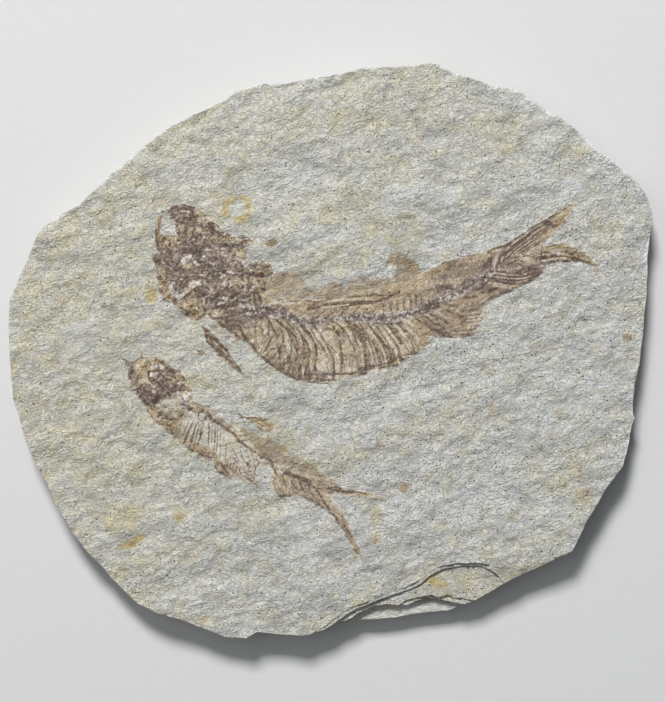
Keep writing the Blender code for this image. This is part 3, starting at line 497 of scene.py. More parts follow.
LARGE_BONES = CROWN.strokes([
    (3, 95, 8, 285, 130, 340, 108, 400, 86, 470, 95, 545, 128),
    (2, 82, 10, 330, 150, 400, 132, 480, 140, 545, 165), (1.5, 12, 25, 325, 180, 400, 207, 470, 212),
    (1.5, 18, 25, 380, 170, 450, 160, 500, 182), (2, 80, 15, 350, 262, 420, 250, 485, 240, 530, 215),
    (1.5, 75, 20, 330, 290, 400, 285, 470, 300, 520, 330), (1, 80, 15, 252, 145, 245, 200, 265, 242),
    (1.5, 92, 20, 550, 65, 552, 125),
    (1.5, 86, 30, 185, 160, 150, 180, 115, 230, 100, 290, 98, 400, 108, 500, 125, 565),
    (2, 95, 10, 178, 158, 205, 205), (2, 62, 50, 165, 225, 145, 300, 135, 380, 122, 450),
    (1.5, 30, 50, 185, 215, 165, 290, 160, 340), (1.5, 76, 60, 245, 490, 268, 520, 255, 560),
    (1.5, 72, 70, 150, 582, 220, 566, 300, 545, 345, 515), (1.5, 62, 80, 270, 430, 340, 455, 385, 500),
    (3, 95, 8, 700, 305, 715, 350, 755, 410, 820, 442, 905, 456),
    (1.5, 90, 10, 745, 285, 800, 318, 850, 370, 875, 405), (2.5, 90, 10, 735, 350, 790, 400, 840, 400),
    (1, 82, 30, 690, 260, 720, 300, 740, 345), (3, 72, 40, 520, 395, 555, 460, 640, 492, 705, 480),
    (2, 70, 40, 545, 330, 590, 320, 640, 350, 680, 400, 740, 470),
    (1.5, 74, 40, 600, 420, 680, 435, 720, 470), (1.5, 75, 45, 800, 480, 860, 470, 930, 465, 1000, 470),
    (1.5, 80, 40, 880, 540, 960, 530, 1040, 545, 1110, 570),
    (1.5, 85, 40, 1070, 435, 1130, 455, 1220, 520, 1150, 560, 1100, 575),
    (1.5, 10, 30, 810, 592, 900, 592, 955, 575, 1010, 602), (1.5, 84, 30, 830, 574, 930, 568, 1010, 562),
    (2.5, 10, 50, 1000, 602, 1060, 580, 1130, 592), (2, 12, 40, 650, 290, 720, 270, 760, 240),
    (2, 14, 50, 560, 130, 600, 150, 660, 160), (1.5, 14, 40, 870, 430, 940, 462),
    (2, 88, 4, 370, 600, 440, 560, 500, 545, 570, 570),
    (2, 90, 4, 450, 640, 520, 610, 590, 640, 620, 600), (2, 85, 4, 600, 700, 660, 660, 720, 700),
    (2, 90, 4, 700, 800, 760, 770, 800, 790), (1.5, 12, 10, 330, 610, 400, 575, 460, 560),
    (1.5, 15, 10, 640, 610, 700, 600, 760, 625),
    (1.5, 12, 20, 860, 640, 910, 625, 930, 650, 900, 680, 865, 660),
    (1.5, 95, 15, 48, 678, 72, 712, 92, 755, 112, 820, 118, 880),
    (2, 66, 55, 112, 800, 130, 900, 160, 960), (1.5, 72, 40, 370, 850, 440, 862, 520, 840),
    (2, 94, 4, 700, 892, 760, 860, 830, 850, 885, 872, 960, 900, 1060, 880),
    (2, 94, 4, 440, 932, 520, 906, 600, 912, 685, 942, 705, 975),
    (1.5, 12, 12, 470, 902, 560, 888, 640, 900), (1.5, 78, 10, 300, 930, 360, 940, 420, 990),
    (1.5, 76, 30, 1130, 800, 1215, 745), (3, 86, 32, 1180, 872, 1250, 892, 1345, 902),
    (2, 82, 32, 1200, 822, 1290, 808, 1385, 800), (1, 20, 30, 1190, 832, 1245, 852, 1330, 850),
    (1.5, 80, 30, 1420, 790, 1440, 860, 1390, 892, 1362, 950, 1356, 1060),
    (2.5, 84, 28, 1095, 850, 1150, 900, 1162, 1000, 1150, 1090),
    (1.5, 82, 20, 1220, 940, 1200, 1000, 1210, 1060), (2, 88, 30, 1270, 955, 1290, 965),
    (2, 88, 30, 1320, 1050, 1356, 1062),
]) + CHEEK.strokes([
    (2, 66, 60, 112, 220, 150, 300, 182, 380),
    (1.5, 80, 20, 240, 400, 300, 370, 360, 385, 400, 420, 420, 460),
    (1.5, 80, 10, 300, 440, 340, 470, 390, 455, 430, 420, 400, 390),
    (2, 86, 40, 375, 582, 440, 532, 500, 492, 545, 478), (2, 8, 30, 400, 540, 450, 500, 500, 455),
    (2, 74, 60, 330, 600, 400, 662, 450, 730, 485, 792),
    (1.5, 70, 80, 485, 792, 560, 812, 640, 772, 668, 705), (3, 92, 8, 640, 640, 682, 700),
    (1.5, 82, 40, 470, 652, 560, 642, 640, 655), (2, 85, 50, 530, 690, 560, 700),
    (2, 85, 50, 590, 680, 620, 690), (2, 74, 70, 190, 590, 260, 600, 330, 620),
    (3, 90, 20, 1160, 465, 1120, 530, 1050, 600, 980, 642, 925, 672),
    (2, 28, 35, 1130, 455, 1080, 520, 1005, 572, 930, 620),
    (1.5, 85, 10, 1180, 380, 1170, 440, 1158, 470), (2, 78, 8, 690, 682, 760, 670, 850, 665, 930, 672),
    (1.5, 10, 30, 700, 692, 780, 742, 860, 732),
    (2.5, 90, 8, 695, 735, 760, 782, 850, 792, 930, 775, 1000, 748, 1065, 698),
    (3, 87, 30, 760, 792, 830, 832, 900, 892, 970, 942, 1045, 998, 1085, 1055),
    (2, 15, 40, 690, 770, 740, 802, 800, 812), (2, 86, 20, 1055, 875, 1090, 950, 1110, 1020, 1118, 1095),
    (1.5, 80, 10, 900, 800, 960, 830, 1040, 820, 1100, 850), (1.5, 80, 5, 880, 650, 950, 700, 1040, 690),
    (2, 88, 20, 1225, 500, 1236, 560, 1242, 625), (2.5, 88, 20, 1265, 500, 1298, 550, 1306, 605),
    (1.5, 84, 5, 1300, 660, 1400, 690, 1500, 680),
    (1.5, 86, 5, 1100, 720, 1180, 690, 1260, 710, 1340, 690),
    (1, 72, 20, 1240, 740, 1246, 850, 1240, 960), (1, 72, 20, 1310, 790, 1312, 900),
    (1, 74, 20, 1100, 772, 1250, 760, 1340, 772), (1, 74, 30, 1390, 800, 1400, 900, 1395, 1000),
    (1.5, 78, 30, 900, 1000, 960, 960),
]) + BELLY.strokes([
    (1, 72, 20, 130, 230, 125, 320, 120, 400), (1.2, 72, 20, 215, 240, 230, 320, 225, 400),
    (1.5, 80, 30, 210, 400, 180, 450, 150, 500), (1.5, 80, 30, 260, 400, 225, 470, 190, 540),
    (1.5, 82, 30, 310, 390, 280, 450, 240, 520, 215, 560),
    (1.5, 82, 30, 345, 400, 330, 480, 270, 560, 240, 590), (1.5, 84, 30, 330, 480, 325, 540, 290, 610),
    (1.8, 84, 30, 270, 260, 350, 330, 400, 400, 410, 480, 390, 580, 340, 640),
    (1.8, 86, 30, 310, 300, 400, 370, 440, 420, 460, 500, 445, 590, 405, 675),
    (1.8, 84, 30, 360, 280, 460, 380, 500, 460, 510, 560, 480, 640, 455, 705),
    (1.8, 84, 30, 400, 290, 480, 390, 530, 470, 545, 580, 515, 700),
    (2.2, 90, 25, 460, 290, 505, 340, 560, 400, 600, 490, 602, 590, 580, 680),
    (1.4, 78, 35, 560, 350, 620, 450, 665, 540, 690, 640, 700, 690),
    (2, 88, 30, 570, 305, 650, 410, 710, 530, 742, 610, 745, 680),
    (1, 74, 35, 660, 440, 740, 510, 800, 575),
    (2, 88, 30, 690, 330, 760, 380, 790, 440, 802, 540, 800, 700),
    (1.4, 76, 35, 770, 350, 850, 440, 885, 520, 895, 600),
    (1.6, 84, 30, 810, 380, 880, 460, 915, 560, 925, 650), (1, 70, 35, 800, 540, 860, 580, 900, 592),
    (2, 86, 30, 820, 270, 900, 340, 950, 410, 982, 510, 1000, 630),
    (1.2, 76, 35, 900, 310, 990, 400, 1040, 500, 1062, 610),
    (1.6, 82, 30, 940, 300, 1010, 400, 1065, 490, 1090, 600),
    (2, 86, 30, 1000, 300, 1065, 380, 1125, 450, 1175, 530, 1190, 600),
    (1.6, 82, 30, 1080, 330, 1140, 420, 1200, 510, 1222, 590),
    (1.6, 82, 30, 1120, 320, 1190, 410, 1240, 480, 1275, 560),
    (1.2, 74, 35, 1180, 330, 1250, 410, 1310, 490, 1335, 530),
    (1.5, 80, 35, 1250, 310, 1300, 380, 1340, 435, 1362, 480),
    (1.2, 72, 40, 1320, 310, 1390, 380, 1440, 430), (2, 86, 20, 1350, 240, 1430, 295, 1510, 355),
    (1.4, 76, 30, 1420, 230, 1500, 290), (2, 6, 30, 400, 300, 440, 350, 470, 400, 490, 460),
    (2, 8, 40, 340, 340, 375, 400, 385, 470), (2, 10, 40, 520, 400, 560, 480, 570, 570),
    (2.4, 4, 30, 580, 360, 640, 440, 680, 480), (2.4, 10, 60, 640, 500, 680, 580, 700, 660),
    (2, 8, 50, 720, 440, 765, 500, 775, 600, 775, 680), (2.4, 6, 40, 830, 400, 870, 470, 890, 530),
    (2, 10, 40, 930, 430, 955, 500, 970, 600), (2, 10, 40, 1000, 450, 1035, 540, 1045, 610),
    (2, 12, 40, 1080, 440, 1130, 520, 1150, 600), (1.6, 12, 40, 1160, 430, 1200, 500),
    (1.6, 6, 30, 1270, 480, 1310, 530), (1.6, 6, 40, 830, 600, 850, 650, 900, 670),
    (2, 12, 40, 300, 430, 260, 480, 200, 540), (2, 12, 40, 200, 420, 165, 480),
    (1.6, 14, 40, 360, 560, 320, 620), (1.6, 14, 40, 430, 620, 400, 690),
    (2, 10, 50, 610, 600, 615, 650, 670, 660),
    (3, 90, 20, -10, 320, 25, 380, 60, 440, 115, 500, 180, 572),
    (3.5, 90, 15, 180, 572, 240, 620, 300, 662, 370, 710, 440, 742),
    (2.5, 84, 20, 440, 742, 560, 735, 640, 745, 760, 752), (2, 80, 20, 560, 702, 700, 700),
    (2.5, 90, 20, 700, 705, 800, 700, 900, 692, 960, 672, 1060, 650),
    (2, 88, 20, 930, 660, 1000, 642, 1100, 632, 1180, 612, 1225, 602),
    (2, 86, 20, 1100, 655, 1160, 640, 1240, 630), (2, 84, 25, 1180, 600, 1260, 562, 1330, 545, 1405, 530),
    (1.5, 80, 20, 1250, 590, 1330, 575), (2, 70, 60, 600, 770, 720, 775, 820, 762),
    (1.5, 80, 30, 850, 702, 960, 690, 1010, 700), (1.5, 70, 30, 960, 700, 1040, 720),
    (1.5, 75, 20, 440, 742, 540, 762, 620, 760), (1.5, 78, 30, 290, 72, 340, 92, 390, 120, 445, 132),
    (1.5, 76, 30, 200, 42, 262, 62, 300, 82), (2, 82, 30, 112, 60, 120, 140, 132, 192),
    (2, 84, 30, 148, 70, 172, 140, 182, 185), (1.8, 80, 30, 520, 125, 600, 136, 680, 120, 760, 105),
    (1.2, 76, 30, 640, 112, 760, 100, 880, 95, 1000, 86),
    (3, 90, 25, 535, 190, 600, 180, 650, 165, 760, 150, 860, 142, 960, 136, 1040, 142),
    (3, 88, 30, 1040, 142, 1110, 120, 1180, 90, 1250, 60), (1.5, 78, 40, 515, 150, 560, 162, 620, 150),
    (1.8, 84, 30, 1000, 86, 1060, 75, 1120, 86, 1180, 62), (1.8, 82, 20, 800, 172, 900, 156, 1010, 152),
    (1.2, 8, 40, 640, 178, 760, 166, 860, 158), (1.2, 10, 40, 680, 132, 800, 118, 940, 112, 1040, 112),
    (1.2, 12, 50, 860, 178, 960, 170, 1040, 165), (1, 74, 30, 560, 232, 620, 196),
    (1, 76, 30, 600, 260, 660, 215, 700, 190), (1, 78, 30, 700, 250, 740, 215, 765, 200),
    (1.2, 80, 20, 800, 235, 830, 195, 850, 172), (1.2, 78, 30, 880, 235, 915, 195, 942, 172),
    (1.2, 78, 30, 960, 250, 985, 215, 1002, 190), (1, 78, 30, 1030, 245, 1050, 210, 1072, 182),
    (1, 74, 30, 1130, 232, 1132, 150), (1, 76, 30, 1190, 242, 1186, 150),
    (1, 76, 30, 1238, 222, 1242, 120), (1, 76, 30, 1290, 202, 1292, 110),
    (1.2, 76, 30, 1345, 202, 1338, 90), (1, 76, 30, 1390, 172, 1382, 80),
    (1.2, 78, 30, 1432, 162, 1425, 70), (1.2, 10, 40, 1215, 210, 1216, 130),
    (1.2, 10, 40, 1265, 200, 1268, 110), (1.2, 12, 40, 1318, 190, 1316, 100),
    (1.2, 12, 40, 1160, 230, 1160, 150), (2, 90, 2, 345, 262, 400, 240, 440, 262, 500, 285),
    (2, 88, 2, 30, 200, 120, 210, 180, 230, 240, 205, 300, 225),
    (1.5, 88, 10, 320, 160, 350, 190, 372, 240), (2, 86, 5, 860, 250, 960, 250, 1060, 262, 1150, 255),
    (1.5, 88, 5, 1140, 262, 1170, 300), (2, 90, 2, 1265, 240, 1340, 232, 1420, 205, 1500, 165),
    (1.5, 84, 5, 700, 240, 725, 270), (1.5, 80, 5, 1060, 300, 1140, 310, 1260, 300),
]) + LOINS.strokes([
    (2, 88, 2, 0, 600, 60, 580, 150, 560, 220, 555), (2, 80, 2, 0, 660, 80, 620, 160, 600),
    (1.5, 84, 5, 240, 560, 300, 520, 330, 480), (3, 90, 10, 250, 380, 320, 390),
    (2.5, 94, 2, 360, 430, 420, 430), (2, 86, 5, 360, 360, 420, 345, 450, 300),
    (2, 84, 5, 540, 330, 620, 345, 700, 330), (1.2, 78, 10, 560, 240, 545, 300, 540, 345),
    (1.5, 82, 10, 700, 120, 720, 180, 690, 230), (1.5, 84, 10, 760, 90, 750, 160, 740, 210),
    (2, 84, 15, 870, 40, 840, 110, 810, 190), (2, 86, 15, 920, 30, 900, 90, 860, 160),
    (2, 84, 30, 0, 700, 60, 750, 130, 800, 220, 862), (2, 82, 30, 60, 690, 130, 720, 200, 750, 250, 790),
    (2.5, 86, 30, 0, 780, 60, 840, 140, 890, 230, 938, 320, 950),
    (2, 86, 30, 320, 952, 420, 962, 500, 925), (1.5, 84, 25, 60, 850, 150, 870, 220, 905),
    (1.5, 82, 30, 300, 890, 400, 885, 500, 875, 560, 850),
    (1.5, 78, 30, 400, 800, 450, 760, 520, 742, 600, 730),
    (1.5, 80, 30, 380, 720, 460, 712, 540, 702, 620, 690), (1.5, 78, 30, 430, 655, 520, 640, 600, 630),
    (1.5, 76, 40, 420, 770, 480, 785, 540, 770), (1.5, 74, 30, 200, 560, 280, 590, 360, 602),
    (1.5, 76, 30, 250, 640, 320, 680, 400, 700), (1.5, 80, 30, 140, 500, 150, 560),
    (2, 80, 30, 540, 385, 620, 385, 700, 372, 780, 392), (2, 82, 20, 440, 480, 520, 490, 590, 488),
    (2, 80, 50, 600, 600, 660, 560, 720, 510, 800, 460), (1.8, 80, 40, 640, 430, 700, 440, 740, 425),
    (1.5, 10, 30, 260, 880, 340, 900, 440, 895, 540, 890), (1.5, 8, 30, 480, 760, 560, 755, 640, 745),
    (1.5, 8, 30, 500, 812, 580, 800, 640, 790), (1.5, 10, 30, 500, 725, 580, 715, 660, 705),
    (1.5, 10, 30, 480, 680, 560, 672, 640, 655), (1.5, 10, 40, 100, 650, 180, 690, 240, 730),
    (1.5, 8, 30, 0, 690, 50, 720, 120, 780), (1.5, 10, 20, 550, 395, 640, 400, 700, 390),
    (1.2, 70, 30, 560, 820, 640, 812), (1.2, 72, 30, 40, 560, 50, 500), (1.2, 72, 30, 70, 560, 85, 480),
    (1.2, 74, 30, 110, 560, 120, 470),
]) + TAIL.strokes([
    (2, 88, 12, 640, 400, 700, 350, 770, 300, 860, 240, 930, 195, 980, 172),
    (2, 90, 10, 620, 470, 680, 400, 760, 340, 860, 265, 950, 205, 1010, 185),
    (2, 88, 12, 650, 460, 720, 390, 800, 330, 890, 260, 970, 212, 1050, 190),
    (2, 86, 15, 690, 450, 760, 390, 850, 320, 940, 255, 1010, 215, 1080, 190),
    (2, 86, 15, 720, 450, 800, 395, 880, 335, 960, 275, 1040, 228, 1100, 205),
    (1.8, 84, 20, 770, 440, 850, 385, 930, 320, 1000, 270), (1.5, 80, 25, 800, 450, 870, 400, 940, 345),
    (1.2, 10, 30, 640, 440, 710, 370, 800, 305, 890, 240, 960, 205),
    (1.2, 12, 30, 660, 470, 740, 400, 820, 340, 900, 280, 980, 225),
    (1.2, 12, 30, 700, 465, 780, 400, 870, 335, 950, 275),
    (1.2, 12, 30, 740, 455, 820, 400, 900, 345, 980, 285), (1.5, 10, 40, 780, 470, 850, 420, 900, 390),
    (2, 84, 20, 980, 172, 1060, 120, 1130, 65, 1190, 25), (1.5, 72, 60, 1050, 190, 1130, 150, 1190, 90),
    (2, 60, 75, 1040, 200, 1110, 195, 1170, 160), (2, 34, 98, 1090, 150, 1150, 150, 1180, 110),
    (2, 86, 30, 510, 436, 560, 410, 620, 385, 690, 375), (1.5, 70, 50, 280, 470, 370, 460, 430, 450),
    (1.5, 12, 40, 540, 430, 600, 410, 625, 430), (2, 8, 35, 590, 430, 575, 500, 560, 560),
    (1.8, 84, 12, 625, 440, 600, 510, 570, 580), (1.8, 84, 12, 650, 450, 625, 520, 590, 575),
    (1.5, 80, 12, 545, 470, 530, 520, 510, 570), (1.5, 82, 12, 520, 480, 500, 540, 470, 580),
    (1.2, 10, 20, 640, 470, 610, 530, 590, 560), (1.5, 82, 15, 640, 560, 700, 520, 760, 500, 800, 515),
    (1.5, 74, 30, 760, 525, 800, 560, 770, 590),
    (1.8, 86, 5, 560, 590, 640, 600, 720, 610, 800, 600, 860, 580, 920, 570),
    (1.8, 86, 5, 560, 620, 640, 635, 740, 640, 820, 625, 900, 605),
    (1.8, 88, 5, 560, 650, 650, 660, 740, 665, 830, 650, 930, 620),
    (1.5, 82, 10, 580, 670, 680, 690, 780, 690, 860, 665, 920, 640),
    (1.8, 86, 10, 540, 640, 600, 668, 650, 690), (1.8, 84, 10, 490, 640, 540, 650, 580, 640),
    (1.2, 12, 30, 560, 605, 640, 618, 740, 625, 830, 612),
    (1.2, 14, 30, 580, 640, 680, 650, 780, 652, 870, 632),
    (1.5, 10, 40, 500, 690, 600, 695, 680, 710, 740, 715), (1.5, 10, 40, 540, 710, 620, 715, 700, 730),
    (2, 84, 30, 740, 730, 800, 700, 870, 672, 930, 650),
    (1.8, 82, 20, 390, 742, 470, 738, 540, 740, 600, 728), (1.2, 80, 10, 400, 690, 440, 700, 500, 690),
    (2, 86, 10, 600, 520, 650, 540), (1.5, 80, 10, 800, 450, 810, 470),
    (2, 84, 30, 960, 520, 1020, 510, 1080, 508, 1150, 510, 1240, 510, 1320, 520, 1380, 545),
    (1.8, 82, 40, 960, 490, 1030, 478, 1100, 470, 1180, 475, 1250, 490, 1310, 512),
    (1.5, 78, 40, 950, 460, 1010, 470, 1060, 460, 1130, 465),
    (1.8, 78, 60, 1180, 440, 1240, 440, 1290, 435, 1330, 450),
    (1.5, 74, 70, 960, 440, 1020, 410, 1100, 400, 1200, 402),
    (1.5, 70, 80, 1000, 390, 1100, 370, 1190, 372, 1260, 390),
    (2, 74, 40, 1380, 548, 1410, 540, 1450, 530),
    (1.5, 12, 40, 970, 505, 1040, 490, 1110, 485, 1180, 492), (1.5, 78, 20, 950, 420, 945, 480, 945, 520),
    (1.2, 76, 30, 880, 545, 960, 530),
])
LARGE_FLECKS = CROWN.strokes([
    (3.5, 90, 400, 735, 440, 705, 500, 675), (2.5, 80, 425, 765, 470, 730), (1.5, 80, 545, 742, 585, 787),
    (1.5, 90, 650, 682, 660, 690), (1.5, 70, 735, 745, 775, 772), (3, 100, 962, 868, 985, 868),
    (1.5, 90, 925, 862, 935, 860), (1.5, 90, 1095, 742, 1130, 792, 1170, 768),
    (1.5, 70, 300, 262, 325, 255), (2, 70, 195, 345, 210, 375), (1.5, 70, 590, 262, 640, 240),
    (1.5, 60, 530, 958, 570, 975), (1.5, 70, 840, 880, 850, 890), (1.5, 60, 1190, 1060, 1215, 1075),
], 2) + CHEEK.strokes([
    (3.5, 80, 278, 430, 290, 490, 328, 540, 372, 560), (2.5, 80, 330, 532, 400, 535),
    (2, 70, 360, 580, 420, 525), (3, 60, 565, 365, 610, 400), (1.5, 80, 880, 560, 920, 575),
    (1.5, 60, 830, 622, 880, 600), (1.5, 70, 650, 570, 655, 650), (1.5, 80, 1215, 435, 1225, 440),
    (1.5, 60, 1070, 640, 1130, 655, 1180, 640), (1.5, 60, 1150, 740, 1200, 745),
    (2, 60, 690, 800, 720, 850), (1.5, 60, 1060, 600, 1090, 580, 1150, 590),
], 2) + BELLY.strokes([
    (2, 60, 350, 150, 430, 150), (1.5, 70, 240, 250, 290, 262, 330, 240), (1.5, 60, 760, 265, 800, 262),
    (1.2, 60, 960, 260, 980, 272), (1.2, 60, 1060, 275, 1080, 262), (1.5, 70, 1240, 225, 1300, 215),
    (1.5, 70, 1350, 240, 1380, 262), (1.5, 60, 520, 310, 560, 315), (2, 50, 600, 400, 620, 420),
    (1.5, 60, 50, 175, 110, 165), (1.5, 50, 590, 690, 640, 700), (2, 100, 95, 445, 108, 447),
    (1.2, 60, 470, 265, 500, 300), (1.5, 70, 260, 140, 330, 150),
], 2) + LOINS.strokes([
    (3, 60, 330, 440, 360, 425), (2, 60, 380, 470, 430, 480), (1.5, 60, 300, 520, 340, 500),
    (2, 60, 660, 540, 700, 510), (1.5, 50, 690, 300, 700, 280), (1.2, 60, 740, 245, 780, 215),
    (1.2, 50, 840, 160, 870, 160), (1.5, 60, 60, 360, 110, 380), (1.5, 50, 540, 680, 550, 690),
    (1.5, 50, 250, 540, 290, 570),
], 2) + TAIL.strokes([
    (1.5, 60, 960, 505, 985, 520), (1.5, 60, 930, 545, 960, 555), (2, 50, 1040, 445, 1090, 450),
    (1.2, 60, 810, 440, 850, 440), (1.2, 60, 540, 570, 570, 570), (1.2, 60, 640, 545, 660, 560),
], 2)
PECTORAL_BONES = FINS.strokes([
    (2, 88, 15, 60, 75, 90, 110, 150, 170, 220, 235, 290, 310),
    (2, 86, 20, 75, 130, 100, 200, 160, 260, 230, 330, 290, 370),
    (2, 84, 20, 110, 150, 160, 220, 220, 280, 280, 330), (1.5, 84, 25, 130, 230, 200, 290, 270, 350),
    (1.8, 86, 30, 290, 310, 350, 390, 390, 450, 440, 505), (1.5, 78, 35, 290, 370, 330, 430, 390, 470),
    (1.5, 14, 20, 95, 120, 120, 140), (1.2, 20, 40, 150, 200, 220, 260, 270, 315),
    (1.2, 88, 20, 180, 200, 240, 260),
])

# The small fish.
SMALL_SPINE = SHEET.line([
    194, 404, 205, 409, 213, 418, 225, 427, 237, 436, 248, 446, 258, 454, 271, 462, 280, 469, 293, 475,
    307, 481, 319, 486,
])
SMALL_BELLY = SHEET.line([
    158, 410, 166, 420, 176, 430, 188, 441, 200, 450, 213, 458,
])
SMALL_SKULL = SHEET.blots([(158, 388, 36, 36, 0)])[0]
SMALL_DOMES = SHEET.blots([
    (151, 396, 10, 6, -10, 0.40), (163, 372, 11, 8, 0, 0.35), (177, 384, 9, 8, 0, 0.40),
    (140, 374, 7, 9, 0, 0.30), (172, 406, 11, 7, 0, 0.35), (185, 399, 5, 5, 0, 0.45),
    (169, 426, 9, 4, -35, 0.30),
])
SMALL_PATCHES = SMALL_HEAD.blots([
    (480, 400, 350, 290, 0, 48, 35, 100), (960, 960, 210, 190, -40, 14, 35, 30),
    (330, 270, 125, 115, 0, 30, 85), (470, 165, 130, 46, 0, 50, 80), (600, 220, 95, 62, -20, 60, 35),
    (645, 275, 62, 42, 0, 70, 10), (760, 350, 105, 90, -30, 50, 45), (820, 475, 50, 75, 10, 46, 85),
    (700, 430, 90, 60, -30, 40, 60), (160, 300, 62, 95, 0, 60, 6), (110, 205, 62, 50, 0, 48, 20),
    (210, 500, 60, 50, 0, 55, 10), (430, 345, 62, 52, 0, 16, 15), (440, 250, 52, 30, 20, 12, 20),
    (515, 250, 42, 32, 0, 22, 15), (505, 345, 36, 55, 0, 66, 8), (350, 440, 100, 52, 0, 22, 55),
    (420, 490, 60, 30, 0, 18, 50), (470, 430, 50, 26, 0, 50, 10), (400, 580, 165, 82, -15, 76, 16),
    (560, 520, 125, 62, 0, 66, 16), (300, 530, 62, 52, 0, 64, 15), (660, 470, 92, 60, 0, 56, 25),
    (500, 680, 95, 50, 0, 36, 12), (370, 680, 60, 40, -40, 48, 30), (740, 565, 62, 40, 0, 16, 0),
    (760, 645, 58, 50, 0, 56, 0), (800, 725, 88, 52, 0, 44, 0), (650, 690, 115, 90, 0, 10, 50, 45),
    (600, 780, 90, 40, 0, 14, 60, 50), (440, 800, 95, 60, -20, 38, 85), (600, 930, 130, 62, -40, 70, 50),
    (680, 1000, 42, 95, 0, 60, 68), (560, 870, 90, 40, -10, 60, 60), (980, 800, 46, 50, 0, 18, 5, 70),
    (845, 830, 52, 62, 0, 12, 30, 50), (925, 735, 100, 34, 0, 50, 55), (1100, 850, 80, 40, -45, 60, 40),
    (1030, 580, 140, 60, 0, 24, 90, 55), (1170, 740, 190, 42, 0, 32, 85, 60),
    (730, 840, 60, 50, 0, 30, 90),
]) + SMALL_BODY.blots([
    (200, 400, 200, 120, 0, 12, 40, 35), (450, 500, 200, 150, -40, 12, 35, 25),
    (660, 640, 180, 110, -40, 14, 35, 30), (760, 830, 110, 110, 0, 40, 35, 60),
    (900, 640, 110, 60, 0, 10, 30, 30), (880, 790, 70, 70, 0, 6, 10, 10), (290, 585, 85, 50, -20, 72, 50),
    (335, 615, 42, 32, 0, 80, 40), (215, 530, 70, 46, 0, 34, 92), (440, 765, 118, 40, -47, 66, 45, 100),
    (1280, 720, 130, 62, -10, 36, 85, 100), (1350, 810, 80, 40, 0, 30, 60),
    (1160, 930, 190, 110, 0, 42, 50, 100), (1040, 900, 62, 95, 0, 38, 75, 100),
    (1240, 1010, 120, 60, 0, 46, 50), (1100, 700, 100, 60, 0, 14, 40, 40),
    (750, 430, 140, 80, -40, 14, 60, 30), (760, 530, 120, 60, -40, 20, 70, 40),
]) + SMALL_TAIL.blots([
    (180, 150, 110, 70, 0, 36, 85, 100), (300, 210, 100, 50, -30, 34, 75, 100),
    (120, 380, 200, 90, -15, 40, 42, 100), (300, 450, 110, 70, -35, 44, 35, 100),
    (420, 330, 90, 40, -30, 42, 30, 100), (600, 390, 130, 36, -8, 58, 50, 100),
    (640, 345, 110, 22, -15, 46, 80, 100), (860, 440, 160, 24, -12, 44, 55, 100),
    (990, 470, 60, 22, -10, 44, 75, 100), (880, 480, 100, 30, 0, 24, 45, 70),
    (500, 640, 150, 62, -50, 58, 38, 100), (430, 480, 60, 60, 0, 38, 40, 100),
    (560, 520, 90, 80, -45, 14, 55, 45), (680, 480, 60, 50, 0, 24, 35, 60),
    (650, 860, 130, 48, -62, 50, 45, 100), (720, 980, 70, 32, -52, 48, 60, 100),
    (620, 960, 50, 40, 0, 30, 50, 50),
])
